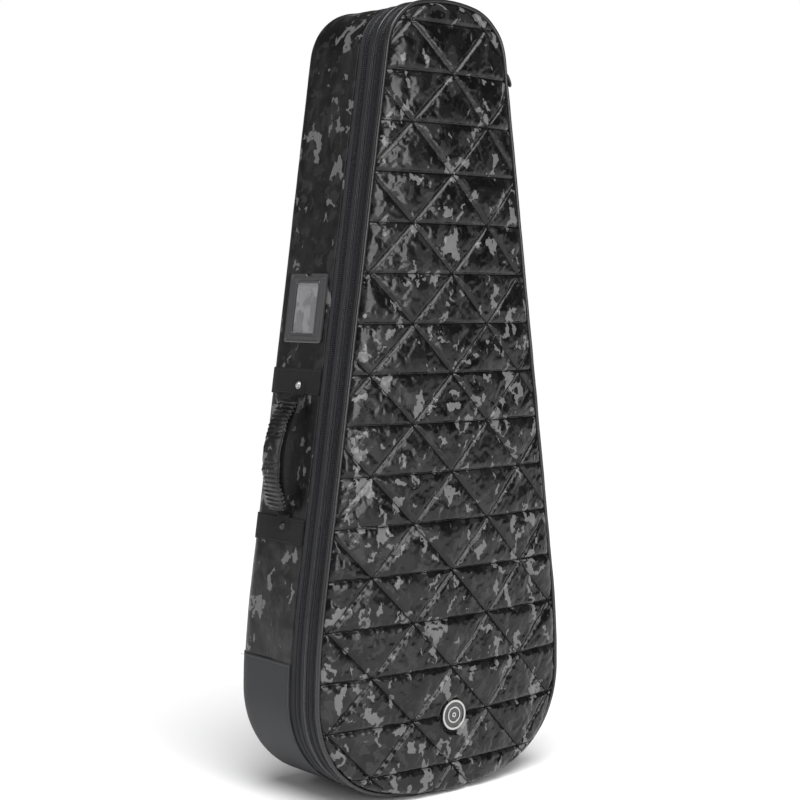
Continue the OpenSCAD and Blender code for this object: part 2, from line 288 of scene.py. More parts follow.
def mesh_object(name, verts, faces, smooth=True):
    mesh = bpy.data.meshes.new(name)
    mesh.from_pydata([tuple(v) for v in verts], [], [tuple(f) for f in faces])
    mesh.update()
    obj = link_object(name, mesh)
    mesh_edit(mesh, lambda bm: bmesh.ops.recalc_face_normals(bm, faces=bm.faces))
    smooth_shade(obj, smooth)
    return obj


def set_path(obj, path):
    """Stores metres along and across a strip, for woven and stitched materials."""
    attribute = obj.data.attributes.new("path", "FLOAT_VECTOR", "POINT")
    attribute.data.foreach_set("vector", np.asarray(path, np.float32).ravel())


def read_points(obj):
    flat = np.empty(len(obj.data.vertices) * 3, np.float32)
    obj.data.vertices.foreach_get("co", flat)
    return flat.reshape(-1, 3).astype(float)


def write_points(obj, points):
    obj.data.vertices.foreach_set("co", np.asarray(points, np.float32).ravel())
    obj.data.update()


def modify(obj, kind, **settings):
    modifier = obj.modifiers.new(kind.lower(), kind)
    for key, value in settings.items():
        setattr(modifier, key, value)
    return modifier


def apply_modifiers(obj):
    graph = bpy.context.evaluated_depsgraph_get()
    mesh = bpy.data.meshes.new_from_object(obj.evaluated_get(graph))
    obj.modifiers.clear()
    obj.data = mesh
    return obj


def finish_piece(obj, body, material, slot, *replaced):
    """Gives a piece its material and its body, and hides the frame's nodes that it replaces. The slot is not
    used.
    """
    obj.data.materials.clear()
    obj.data.materials.append(material)
    if body:
        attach(obj, body)
    if replaced:
        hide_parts(*replaced)
    return obj


def sweep(name, section, keep=None, shift=None):
    """Carries a closed section of (inset, depth) points round the outline.

    keep(x, z) picks a stretch of it. shift(s, z, inset, depth) gives moves outwards and backwards."""
    section = np.asarray(section, float)
    chosen = np.arange(RING_COUNT)
    if keep is not None:
        mask = keep(RING_P[:, 0], RING_P[:, 1])
        chosen = chosen[mask]
        gaps = np.where(np.diff(chosen) > 1)[0]
        if len(gaps):
            chosen = np.roll(chosen, -(gaps[0] + 1))
    closed = keep is None or len(chosen) == RING_COUNT
    rows, cols = len(chosen), len(section)
    inset = np.repeat(section[None, :, 0], rows, 0)
    depth = np.repeat(section[None, :, 1], rows, 0)
    if shift is not None:
        out, along = shift(RING_S[chosen][:, None], RING_P[chosen][:, 1:], inset, depth)
        inset, depth = inset - out, depth + along
    p = RING_P[chosen][:, None, :] - inset[:, :, None] * RING_N[chosen][:, None, :]
    low = np.maximum(p[:, :, 1], np.maximum(inset, 0))
    verts = np.stack([p[:, :, 0], depth, low], 2).reshape(-1, 3)
    faces = grid_faces(rows, cols, closed)
    if not closed:
        faces += end_caps(rows, cols)
    obj = mesh_object(name, verts, faces)
    across = np.concatenate([[0], np.cumsum(np.linalg.norm(np.diff(section, axis=0), axis=1))])
    run = RING_S[chosen]
    path = np.stack([np.repeat(run[:, None], cols, 1), np.repeat(across[None], rows, 0),
                     np.zeros((rows, cols))], 2)
    set_path(obj, path.reshape(-1, 3))
    return obj


def round_section(inset, y, r):
    """A round cord's section."""
    turns = np.linspace(0, 2 * math.pi, 12, endpoint=False)
    return [(inset + r * math.cos(a), y + r * math.sin(a)) for a in turns]


def strip_section(inset, thick, y0, y1, n):
    """A thin closed strip, with extra points across so that it can bend."""
    ys = np.linspace(y0, y1, n)
    return [(inset, y) for y in ys] + [(inset + thick, y) for y in ys[::-1]]


def studs(name, centres, along, out, side, size):
    """Many small chamfered bars: teeth and stitches. Size is (length, width, height)."""
    length, width, height = size
    shape = []
    for h, f in ((0, 1.0), (0.65, 1.0), (1.0, 0.55)):
        for a, b in ((-1, -0.5), (-0.6, -1), (0.6, -1), (1, -0.5), (1, 0.5), (0.6, 1), (-0.6, 1), (-1, 0.5)):
            shape.append((a * length / 2 * f, b * width / 2 * f, h * height))
    shape = np.array(shape)
    verts = (centres[:, None, :] + shape[None, :, :1] * along[:, None, :]
             + shape[None, :, 1:2] * side[:, None, :] + shape[None, :, 2:] * out[:, None, :])
    one = grid_faces(3, 8) + end_caps(3, 8)
    faces = [tuple(v + i * len(shape) for v in f) for i in range(len(centres)) for f in one]
    return mesh_object(name, verts.reshape(-1, 3), faces, smooth=False)


def along_ring(pitch, inset, y, keep=None):
    """Places at an even pitch round the outline, with their directions."""
    count = int(PERIMETER / pitch)
    p, n, _, _ = base_outline(count)
    if keep is not None:
        mask = keep(p[:, 0], p[:, 1])
        p, n = p[mask], n[mask]
    at = p - inset * n
    at[:, 1] = np.maximum(at[:, 1], inset)
    centres = np.stack([at[:, 0], np.full(len(at), y), at[:, 1]], 1)
    out = np.stack([n[:, 0], np.zeros(len(n)), n[:, 1]], 1)
    along = np.stack([n[:, 1], np.zeros(len(n)), -n[:, 0]], 1)
    return centres, along, out, same_way((0, 1, 0), len(n))


def side_frame(z, sign):
    """Local frame of a straight side: x outwards, y back, z up along the side."""
    out = (sign * math.cos(TAPER), 0, math.sin(TAPER))
    up = (-sign * math.sin(TAPER), 0, math.cos(TAPER))
    return axes_matrix(out, (0, 1, 0), up, (sign * side_x(z), 0, z))


LEFT_HANDLE = side_frame(HANDLE_Z, -1) @ Matrix.Translation((0, GRIP_Y, 0))
LEFT_LABEL = side_frame(LABEL_Z, -1) @ Matrix.Translation((0, LABEL_Y, 0))


# =====================================================================
# Materials
# =====================================================================

class Graph:
    """Short names for building a node material."""

    def __init__(self, name, **shader):
        self.material = bpy.data.materials.new(name)
        self.material.use_nodes = True
        self.tree = self.material.node_tree
        self.shader = self.tree.nodes["Principled BSDF"]
        for key, value in shader.items():
            self.shader.inputs[key.replace("_", " ")].default_value = value

    def node(self, kind, settings=None, **inputs):
        made = self.tree.nodes.new(kind)
        for key, value in (settings or {}).items():
            setattr(made, key, value)
        for key, value in inputs.items():
            self.put(made.inputs[key.replace("_", " ")], value)
        return made

    def put(self, socket, value):
        if isinstance(value, bpy.types.NodeSocket):
            self.tree.links.new(value, socket)
        else:
            socket.default_value = value

    def combine(self, kind, operation, values):
        """A math node's result from its numbers, vectors or other nodes' outputs."""
        made = self.tree.nodes.new(kind)
        made.operation = operation
        for socket, value in zip(made.inputs, values):
            self.put(socket, value)
        return made.outputs[0]

    def math(self, operation, *values):
        return self.combine("ShaderNodeMath", operation, values)

    def vector_math(self, operation, *values):
        return self.combine("ShaderNodeVectorMath", operation, values)

    def place(self, offset=(0, 0, 0), scale=(1, 1, 1), rotation=(0, 0, 0)):
        coordinates = self.node("ShaderNodeTexCoord")
        mapping = self.node("ShaderNodeMapping", Location=offset, Scale=scale, Rotation=rotation)
        self.tree.links.new(coordinates.outputs["Object"], mapping.inputs["Vector"])
        return mapping.outputs["Vector"]

    def path(self):
        attribute = self.node("ShaderNodeAttribute", {"attribute_name": "path"})
        parts = self.node("ShaderNodeSeparateXYZ", Vector=attribute.outputs["Vector"])
        return parts.outputs["X"], parts.outputs["Y"]

    def noise(self, vector, scale, detail=2.0, roughness=0.5, distortion=0.0):
        return self.node("ShaderNodeTexNoise", Vector=vector, Scale=scale, Detail=detail,
                         Roughness=roughness, Distortion=distortion).outputs["Fac"]

    def ramp(self, value, low, high, a=(0, 0, 0, 1), b=(1, 1, 1, 1)):
        made = self.node("ShaderNodeValToRGB", Fac=value)
        made.color_ramp.elements[0].position = low
        made.color_ramp.elements[1].position = high
        made.color_ramp.elements[0].color = a
        made.color_ramp.elements[1].color = b
        return made.outputs["Color"]

    def mix(self, factor, a, b):
        made = self.node("ShaderNodeMix", {"data_type": "RGBA"})
        self.put(made.inputs[0], factor)
        self.put(made.inputs[6], a)
        self.put(made.inputs[7], b)
        return made.outputs[2]

    def bump(self, height, strength, distance, normal=None):
        made = self.node("ShaderNodeBump", Strength=strength, Distance=distance, Height=height)
        if normal is not None:
            self.put(made.inputs["Normal"], normal)
        return made.outputs["Normal"]

    def done(self, color=None, roughness=None, normal=None):
        for key, value in (("Base Color", color), ("Roughness", roughness), ("Normal", normal)):
            if value is not None:
                self.put(self.shader.inputs[key], value)
        return self.material


def grey(v, warm=1.0, cool=1.0):
    """A grey, with its red and its blue scaled."""
    return (v * warm, v, v * cool, 1)


def scaled(tone, factor):
    """A tone made lighter or darker."""
    return tuple(min(1, c * factor) for c in tone[:3]) + (1,)


def camo(name, offset, gloss, wrinkle):
    """Glossy coated cloth with a mottled print: charcoal, near black, mid and light grey."""
    g = Graph(name, Specular_IOR_Level=0.25, Coat_Weight=0.10, Coat_Roughness=0.12)
    at = g.place(offset=offset, scale=(1.0, 1.0, 0.8), rotation=(0.2, 0.5, 0.3))
    ragged = g.node("ShaderNodeTexNoise", Vector=at, Scale=150.0, Detail=2.0)
    centred = g.vector_math("SUBTRACT", ragged.outputs["Color"], (0.5, 0.5, 0.5))
    warped = g.vector_math("MULTIPLY_ADD", centred, (0.012, 0.012, 0.012), at)
    color = grey(0.0050, 1.0, 1.02)
    layers = ((7.3, 34.0, 0.50, grey(0.0014, 1.06, 0.97)), (3.1, 40.0, 0.57, grey(0.0145)),
              (11.7, 40.0, 0.622, grey(0.105)))
    for shift, scale, level, tone in layers:
        moved = g.vector_math("ADD", warped, (shift, shift * 0.6, -shift))
        field = g.noise(moved, scale, 1.5, 0.5, 0.9)
        color = g.mix(g.ramp(field, level, level + 0.014), color, tone)
    haze = g.noise(at, 12.0, 2.0)
    color = g.mix(g.math("MULTIPLY", g.ramp(haze, 0.35, 0.75), 0.10), color, grey(0.02))
    rough = g.math("ADD", gloss, g.math("MULTIPLY", g.noise(at, 90.0, 3.0), 0.22))
    crease = g.noise(at, 75.0, 2.0, 0.5, 1.2)
    weave = g.noise(at, 1800.0, 1.0)
    normal = g.bump(weave, 0.10, 0.0003, g.bump(crease, wrinkle, 0.0020))
    return g.done(color, rough, normal)


def woven(name, tone, rib, rough=0.75, depth=0.0004, across=None, sheen=0.02, contrast=0.25):
    """Woven tape: ribs across the strip and columns of threads along it, from the stored path."""
    g = Graph(name, Specular_IOR_Level=0.16, Sheen_Weight=sheen, Sheen_Roughness=0.4)
    s, v = g.path()
    ribs = g.math("SINE", g.math("MULTIPLY", s, 2 * math.pi / rib))
    threads = g.math("SINE", g.math("MULTIPLY", v, 2 * math.pi / (across or rib)))
    field = g.math("MULTIPLY", ribs, threads)
    level = g.math("MULTIPLY_ADD", field, 0.5, 0.5)
    patchy = g.noise(g.place(), 60.0, 3.0)
    color = g.mix(level, scaled(tone, contrast), tone)
    color = g.mix(g.math("MULTIPLY", patchy, 0.25), color, scaled(tone, 1.7))
    return g.done(color, rough, g.bump(level, 0.8, depth))


def basket(name, tone, pitch):
    """Rubberised basket weave, from the stored path."""
    g = Graph(name, Specular_IOR_Level=0.25)
    s, v = g.path()
    a = g.math("SINE", g.math("MULTIPLY", g.math("ADD", s, v), 2 * math.pi / pitch))
    b = g.math("SINE", g.math("MULTIPLY", g.math("SUBTRACT", s, v), 2 * math.pi / pitch))
    level = g.math("MULTIPLY_ADD", g.math("MULTIPLY", a, b), 0.5, 0.5)
    cloud = g.noise(g.place(), 14.0, 3.0)
    color = g.mix(level, scaled(tone, 0.45), tone)
    color = g.mix(g.math("MULTIPLY", cloud, 0.25), color, scaled(tone, 1.45))
    rough = g.math("ADD", 0.46, g.math("MULTIPLY", cloud, 0.16))
    return g.done(color, rough, g.bump(level, 0.6, 0.0004))


def plastic(name, tone, rough, scale, strength=0.15, coat=0.0, specular=0.5):
    """Moulded plastic, vinyl or thread with a slightly uneven surface."""
    g = Graph(name, Specular_IOR_Level=specular, Coat_Weight=coat, Coat_Roughness=0.12)
    at = g.place()
    cloud = g.noise(at, scale * 0.2, 3.0)
    color = g.mix(g.math("MULTIPLY", cloud, 0.4), tone, scaled(tone, 1.6))
    return g.done(color, g.math("ADD", rough, g.math("MULTIPLY", cloud, 0.14)),
                  g.bump(g.noise(at, scale, 3.0), strength, 0.0005))


def metal(name, tone, rough):
    """Cast or pressed metal with fine scratches."""
    g = Graph(name, Metallic=1.0)
    at = g.place()
    scratch = g.noise(g.place(scale=(1, 6, 1)), 420.0, 3.0)
    cloud = g.noise(at, 90.0, 2.0)
    color = g.mix(g.math("MULTIPLY", cloud, 0.35), tone, scaled(tone, 0.72))
    return g.done(color, g.math("ADD", rough, g.math("MULTIPLY", scratch, 0.14)),
                  g.bump(scratch, 0.06, 0.0002))


def foam_stuff(name, tone):
    """Open-celled foam."""
    g = Graph(name, Specular_IOR_Level=0.2)
    at = g.place()
    cells = g.node("ShaderNodeTexVoronoi", Vector=at, Scale=900.0).outputs["Distance"]
    color = g.mix(g.noise(at, 35.0, 3.0), tone, scaled(tone, 1.5))
    return g.done(color, 0.95, g.bump(cells, 0.5, 0.0006))


def plush(name, tone):
    """Short brushed pile."""
    g = Graph(name, Specular_IOR_Level=0.15, Sheen_Weight=0.5, Sheen_Roughness=0.5)
    at = g.place()
    pile = g.noise(at, 700.0, 4.0, 0.7)
    brushed = g.noise(g.place(scale=(1, 1, 0.35)), 28.0, 3.0)
    color = g.mix(brushed, scaled(tone, 0.6), scaled(tone, 1.5))
    return g.done(color, 0.92, g.bump(pile, 0.6, 0.0009))


def film_stuff(name):
    """Clear vinyl with slow waves that catch the light."""
    g = Graph(name, Roughness=0.14, IOR=1.45, Alpha=0.25)
    wave = g.noise(g.place(), 26.0, 1.0, 0.5, 0.6)
    color = g.mix(wave, grey(0.17, 1, 1.05), grey(0.25, 1, 1.04))
    return g.done(color, None, g.bump(wave, 0.4, 0.0025))


def card_stuff(name):
    """Grey card with large soft light patches: painted reflection of the window over it, not stains."""
    g = Graph(name, Specular_IOR_Level=0.3)
    # painted reflection: the lighter soft patches stand in for reflections on the window film
    cloud = g.ramp(g.noise(g.place(), 38.0, 2.0, 0.5, 0.7), 0.46, 0.56)
    color = g.mix(cloud, grey(0.19, 1, 1.03), grey(0.36, 1, 1.03))
    fibres = g.noise(g.place(scale=(1, 1, 3)), 240.0, 2.0)
    return g.done(color, 0.75, g.bump(fibres, 0.08, 0.0002))


MAT = {
    "quilt": camo("quilt_cloth", (0.31, 0.17, 0.05), gloss=0.13, wrinkle=0.20),
    "camo": camo("gusset_cloth", (0.0, 0.4, 0.9), gloss=0.30, wrinkle=0.22),
    "grip": camo("grip_cloth", (0.7, 0.1, 0.3), gloss=0.22, wrinkle=0.5),
    "boot": basket("boot_weave", grey(0.029, 0.97, 1.10), 0.0028),
    "piping": plastic("piping_vinyl", grey(0.012), 0.20, scale=180.0, strength=0.12, coat=0.15,
                      specular=0.35),
    "tape_dotted": woven("zip_tape_dotted", grey(0.034, 0.97, 1.22), 0.0027, depth=0.0008, across=0.0064,
                         contrast=0.03),
    "tape_dark": woven("zip_tape_dark", grey(0.006, 1.0, 1.15), 0.0012, depth=0.0003),
    "tape_flat": woven("zip_tape_flat", grey(0.018, 0.97, 1.22), 0.0009, rough=0.55, depth=0.00012,
                       contrast=0.85),
    "coil": plastic("zip_coil_nylon", grey(0.017, 1.0, 1.2), 0.30, scale=500.0, coat=0.2),
    "webbing": woven("webbing_weave", grey(0.0105), 0.0024, rough=0.62, depth=0.0006, across=0.0013),
    "thread": plastic("sewing_thread", grey(0.010), 0.5, scale=900.0, strength=0.3),
    "seam_thread": woven("seam_thread", grey(0.0016), 0.0012, rough=0.9),
    "boot_thread": plastic("boot_thread", grey(0.06, 0.97, 1.1), 0.5, scale=900.0, strength=0.3),
    "rivet": metal("rivet_nickel", grey(0.42), 0.38),
    # painted shade: a darkened copy of the rivet nickel, used for the lower rivet
    "rivet_painted_shade": metal("rivet_nickel_painted_shade", grey(0.06), 0.3),
    "steel": metal("slider_gunmetal", grey(0.22, 1.0, 1.03), 0.22),
    "bright": metal("badge_metal", grey(0.50, 1.0, 0.99), 0.22),
    "enamel": plastic("badge_enamel", grey(0.006), 0.14, scale=60.0, strength=0.03, coat=0.8),
    "rubber": plastic("pull_rubber", grey(0.008), 0.38, scale=350.0, strength=0.2),
    "vinyl": plastic("label_vinyl", grey(0.034, 1.0, 1.06), 0.30, scale=160.0, strength=0.15, coat=0.3),
    "film": film_stuff("label_film_clear"),
    "card": card_stuff("label_card_paper"),
    "foam": foam_stuff("wall_foam", grey(0.10, 1, 1.03)),
    "lining": plush("plush_lining", grey(0.05, 1, 1.1)),
    "strap": woven("strap_mesh", grey(0.016), 0.0034, rough=0.8, depth=0.0009, sheen=0.08, contrast=0.3),
    "binding": woven("strap_binding", grey(0.008), 0.0016, rough=0.6, depth=0.0004),
}


# =====================================================================
# Quilted front
# =====================================================================

QUILT_IN = 5.2 * MM       # where the quilt meets its piping
ROLL_R = 8 * MM           # how far in the edge starts to turn down
ROLL_LEN = ROLL_R * math.pi / 2
SEAM_DEPTH = 3.4 * MM
BADGE_Z = box_middle("badge_disc").z
EDGE_LINE = RING_P - (QUILT_IN - ROLL_LEN + ROLL_R) * RING_N    # the flat quilt's own outline


def outline_distance(x, z, p):
    """Distance inwards from a closed line, and the nearest place on it as a fraction of its points."""
    q = np.roll(p, -1, 0)
    best = np.full(len(x), 1e9)
    place = np.zeros(len(x))
    inside = np.zeros(len(x), bool)
    for k, (a, b) in enumerate(zip(p, q)):
        e = b - a
        t = np.clip(((x - a[0]) * e[0] + (z - a[1]) * e[1]) / max(e @ e, 1e-12), 0, 1)
        dist = np.hypot(x - a[0] - t * e[0], z - a[1] - t * e[1])
        closer = dist < best
        best[closer] = dist[closer]
        place[closer] = (k + t)[closer]
        if e[1] != 0:
            inside ^= ((a[1] > z) != (b[1] > z)) & (x < a[0] + (z - a[1]) * e[0] / e[1])
    return np.where(inside, best, -best), place


def ring_at(place, values):
    """Values of a closed line at places given as fractions of its points."""
    low = np.floor(place).astype(int) % len(values)
    t = (place - np.floor(place))[:, None]
    return values[low] * (1 - t) + values[(low + 1) % len(values)] * t


def seam_distance(x, z):
    """Distance to the nearest quilting seam, and a number for the cell between the seams."""
    u, v = (x - ROW_X) / ROW, (z - ROW_Z) / ROW
    rows = np.abs(v - np.round(v))
    rising = (u - v - 1) / 2
    falling = (u + v - 1) / 2
    slanted = [np.abs(a - np.round(a)) * math.sqrt(2) for a in (rising, falling)]
    cell = np.floor(v) * 7.13 + np.floor(rising) * 3.77 + np.floor(falling) * 5.31
    return np.min([rows] + slanted, axis=0) * ROW, cell


def inflate(obj, pinned, frames, pressure, slack):
    """Cloth simulation of a slack sheet that is sewn down at the pinned points and pushed out."""
    group = obj.vertex_groups.new(name="sewn")
    group.add([int(i) for i in pinned], 1.0, "REPLACE")
    cloth = obj.modifiers.new("cloth", "CLOTH")
    cloth.collision_settings.use_collision = False
    settings = cloth.settings
    settings.quality = 5
    settings.mass = 0.2
    settings.vertex_group_mass = "sewn"
    settings.pin_stiffness = 1.0
    settings.tension_stiffness = 20
    settings.compression_stiffness = 20
    settings.shear_stiffness = 8
    settings.bending_stiffness = 0.05
    settings.shrink_min = -slack
    settings.shrink_max = -slack
    settings.use_pressure = True
    settings.use_pressure_volume = True
    settings.target_volume = 0
    settings.uniform_pressure_force = pressure
    settings.effector_weights.gravity = 0
    scene = bpy.context.scene
    scene.frame_start = 1
    scene.frame_end = frames
    cloth.point_cache.frame_start = 1
    cloth.point_cache.frame_end = frames
    for frame_number in range(1, frames + 1):
        scene.frame_set(frame_number)
    apply_modifiers(obj)
    scene.frame_set(1)
    return obj


def flat_quilt(step):
    """A flat grid on the quilting lattice, cut to the edge line."""
    nx = int(BODY_W / 2 / step) + 6
    z_low = ROW_Z - (math.ceil(ROW_Z / step) + 4) * step
    nz = int((BODY_H - z_low) / step) + 6
    gx = ROW_X + np.arange(-nx, nx + 1) * step
    gz = z_low + np.arange(nz + 1) * step
    x, z = [a.ravel() for a in np.meshgrid(gx, gz, indexing="ij")]
    depth, place = outline_distance(x, z, EDGE_LINE)
    snap = depth < 0.5 * step
    near = ring_at(place, EDGE_LINE)
    x, z = np.where(snap, near[:, 0], x), np.where(snap, near[:, 1], z)
    quads = grid_quads(len(gx), len(gz))
    quads = quads[(~snap[quads]).any(1)]
    used = np.unique(quads)
    index = np.full(len(x), -1)
    index[used] = np.arange(len(used))
    flat = np.stack([x, x * 0, z], 1)[used]
    obj = mesh_object("quilted_front", flat, index[quads].tolist())

    def weld(bm):
        bmesh.ops.remove_doubles(bm, verts=bm.verts, dist=0.05 * MM)
        bm.normal_update()
        if sum(f.normal.y for f in bm.faces) > 0:
            bmesh.ops.reverse_faces(bm, faces=bm.faces)

    mesh_edit(obj.data, weld)
    return obj


def front_height(x, z, depth):
    """Depth of the crowned front: one broad curve low down, and falling to all its edges higher up."""
    crown_r = ((BODY_W / 2) ** 2 + CROWN ** 2) / (2 * CROWN)
    broad = Y_APEX + crown_r - np.sqrt(np.maximum(crown_r ** 2 - x ** 2, 0))
    half = np.interp(z, [289 * MM, SIDE_TOP_Z], [219 * MM, SIDE_TOP_X])
    rise = CROWN * (0.4 + 0.6 * half / (BODY_W / 2)) - 2 * MM
    t = np.clip(depth / half, 0, 1)
    fallen = Y_EDGE - 2 * MM - rise * (1 - (1 - t) ** 2)
    high = ease((z - 240 * MM) / (300 * MM))
    return broad * (1 - high) + fallen * high


def carried_over(x, z):
    """Where a point of the flat quilt lies on the crowned front with its rolled edge."""
    depth, place = outline_distance(x, z, EDGE_LINE)
    depth = np.maximum(depth, 0)
    turn = np.clip(depth / ROLL_LEN, 0, 1) * math.pi / 2
    inner = np.where(depth < ROLL_LEN, ROLL_R * (1 - np.cos(turn)), depth - ROLL_LEN + ROLL_R)
    normal = unit_rows(ring_at(place, RING_N))
    true_edge = ring_at(place, EDGE_LINE) - (ROLL_LEN - ROLL_R) * normal
    rolled = true_edge - inner[:, None] * normal
    at = np.where((depth < ROLL_LEN)[:, None], rolled, np.stack([x, z], 1))
    crown = front_height(at[:, 0], at[:, 1], np.maximum(inner, 0))
    rim = Y_EDGE + 1.0 * MM
    y = rim + (crown - rim) * np.sin(turn)
    return np.stack([at[:, 0], y, np.maximum(at[:, 1], QUILT_IN)], 1), depth


def carried_normal(x, z):
    """Outward direction of the crowned front under points of the flat quilt."""
    d = 0.5 * MM
    across = carried_over(x + d, z)[0] - carried_over(x - d, z)[0]
    upwards = carried_over(x, z + d)[0] - carried_over(x, z - d)[0]
    normal = unit_rows(np.cross(across, upwards))
    return normal * np.where(normal[:, 1] > 0.02, -1, 1)[:, None]


def near_rim(depth):
    """The padding gets lower towards the piping."""
    return (0.45 + 0.55 * ease(depth / (20 * MM))) * np.clip(depth / (3 * MM), 0, 1)


def quilt_thread():
    """Dark stitches in the groove of every seam of the quilt."""
    pitch = 4.4 * MM
    walk = np.arange(-900 * MM, 900 * MM, pitch)
    slant = walk / math.sqrt(2)
    rows = []
    for k in range(-12, 13):
        start = ROW_X + (2 * k + 1) * ROW
        for x, z, turn in ((walk, ROW_Z + k * ROW + 0 * walk, (1, 0)),
                           (start + slant, ROW_Z + slant, (1, 1)),
                           (start - slant, ROW_Z + slant, (-1, 1))):
            rows.append(np.column_stack([x, z, same_way(turn, len(x))]))
    rows = np.concatenate(rows)
    rows = rows[(np.abs(rows[:, 0]) < BODY_W / 2) & (rows[:, 1] > 0) & (rows[:, 1] < BODY_H)]
    base, depth = carried_over(rows[:, 0], rows[:, 1])
    keep = (depth > 2.5 * MM) & (np.hypot(rows[:, 0], rows[:, 1] - BADGE_Z) > 23 * MM)
    (x, z, turn_x, turn_z), base, depth = rows[keep].T, base[keep], depth[keep]
    along = unit_rows(carried_over(x + turn_x * MM, z + turn_z * MM)[0] - base)
    out = carried_normal(x, z)
    centres = base + out * (0.5 * MM - SEAM_DEPTH * near_rim(depth))[:, None]
    obj = studs("quilt_stitches", centres, along, out, np.cross(along, out), (4.1 * MM, 1.6 * MM, 0.8 * MM))
    return finish_piece(obj, "pocket_cover", MAT["seam_thread"], "quilt_fabric")


def quilted_front():
    """The padded cloth: a slack sheet sewn down along its seams, blown out, and laid over the foam."""
    step = ROW / 16
    most = 9 * MM
    obj = flat_quilt(step)
    before = read_points(obj)
    near, _ = seam_distance(before[:, 0], before[:, 2])
    depth, _ = outline_distance(before[:, 0], before[:, 2], EDGE_LINE)
    rough = before.copy()
    rough[:, 1] += 0.25 * MM * np.random.default_rng(4).uniform(-1, 1, len(rough)) * (near > 1 * MM)
    write_points(obj, rough)
    inflate(obj, np.where((near < 0.6 * MM) | (depth < 0.6 * step))[0], 20, 3.0, 0.035)
    move = read_points(obj) - before
    size = np.linalg.norm(move, axis=1, keepdims=True)
    move = move / np.maximum(size, 1e-9) * (most * np.tanh(size / most))
    write_points(obj, before)
    labels = ("move_x", "move_y", "move_z")
    for axis, label in enumerate(labels):
        field = obj.data.attributes.new(label, "FLOAT", "POINT")
        field.data.foreach_set("value", move[:, axis].astype(np.float32))
    modify(obj, "SUBSURF", subdivision_type="SIMPLE", levels=1)
    apply_modifiers(obj)
    flat = read_points(obj)
    fields = []
    for label in labels:
        values = np.empty(len(flat), np.float32)
        obj.data.attributes[label].data.foreach_get("value", values)
        fields.append(values.astype(float))
        obj.data.attributes.remove(obj.data.attributes[label])
    x, z = flat[:, 0], flat[:, 2]
    base, depth = carried_over(x + fields[0], z + fields[2])
    height = quilt_relief(x, z, -fields[1]) * near_rim(depth)
    write_points(obj, base + carried_normal(x, z) * height[:, None])
    modify(obj, "SOLIDIFY", thickness=1.2 * MM, offset=-1)
    apply_modifiers(obj)
    obj = finish_piece(obj, "pocket_cover", MAT["quilt"], "quilt_fabric", "cover_skin")
    return obj


def quilt_relief(x, z, blown):
    """Height over the foam: puffed between the seams, sunk along them, and flat under the badge."""
    near, cell = seam_distance(x, z)
    swell = 0.9 + 0.2 * np.sin(cell * 12.9)
    height = 2.6 * MM * (1 - np.exp(-near / (3.4 * MM))) * swell
    height += 3.0 * MM * np.tanh(blown / (5 * MM))
    height -= SEAM_DEPTH * np.exp(-(near / (1.5 * MM)) ** 2)
    height += 0.5 * MM * fractal(x / (30 * MM), z / (24 * MM), 21) * np.clip(near / (12 * MM), 0, 1)
    under = ease((np.hypot(x, z - BADGE_Z) - 21 * MM) / (9 * MM))
    return height * under - 0.8 * MM * (1 - under)


# =====================================================================
# Walls
# =====================================================================

def rear_move(z):
    """How far the soft back is pulled in towards the top."""
    return -5 * MM * ease((z - SOFT_TOP) / (320 * MM))


def rear_lift(z):
    """How far the stiff rear edge stands proud at the top end."""
    return 4 * MM * ease((z - SOFT_TOP) / (300 * MM))


def wall_section(inset, thick, y0, y1, turn, n=30):
    """A wall from front to back whose rear edge turns inwards."""
    turns = np.linspace(0, math.pi / 2, 14)[1:]
    outer = [(inset, y) for y in np.linspace(y0, y1 - turn, n)]
    outer += [(inset + turn * (1 - math.cos(a)), y1 - turn * (1 - math.sin(a))) for a in turns]
    inner = [(p[0] + thick, min(p[1], y1 - thick)) for p in outer[::-1]]
    return outer + inner


def wall_shift(wave, fine):
    """Slackness of a wall's cloth, with the soft back's own shape."""
    def shift(s, z, inset, y):
        across = np.clip((y - Y_WALL) / (Y_BACK - Y_WALL), 0, 1)
        free = np.sin(across * math.pi)
        waves = fractal(s / (60 * MM), y / (34 * MM), 5) * wave
        small = fractal(s / (17 * MM), y / (22 * MM), 9, 2) * fine
        seam = value_noise(s / (11 * MM), y * 0, 3) * 0.5 * MM * np.exp(-across * 9)
        near_label = np.exp(-(np.abs(z - LABEL_Z - 27 * MM) / (95 * MM)) ** 8)
        near_handle = np.exp(-(np.abs(z - HANDLE_Z) / (112 * MM)) ** 8)
        calm = 1 - np.maximum(near_label, near_handle)
        out = (waves + small) * free * calm - 0.3 * MM - 0.9 * MM * (1 - calm) * free + seam
        out = out + rear_lift(z) * across
        return out, rear_move(z) * across
    return shift


def gusset_cloth():
    """The side wall: slightly slack cloth that turns over a soft rear edge."""
    section = wall_section(SKIN_IN, 1.6 * MM, Y_WALL - 0.5 * MM, Y_BACK, REAR_TURN)
    obj = sweep("gusset_cloth", section, shift=wall_shift(1.1 * MM, 0.35 * MM))
    return finish_piece(obj, "case", MAT["camo"], "camo_fabric", "gusset_skin")


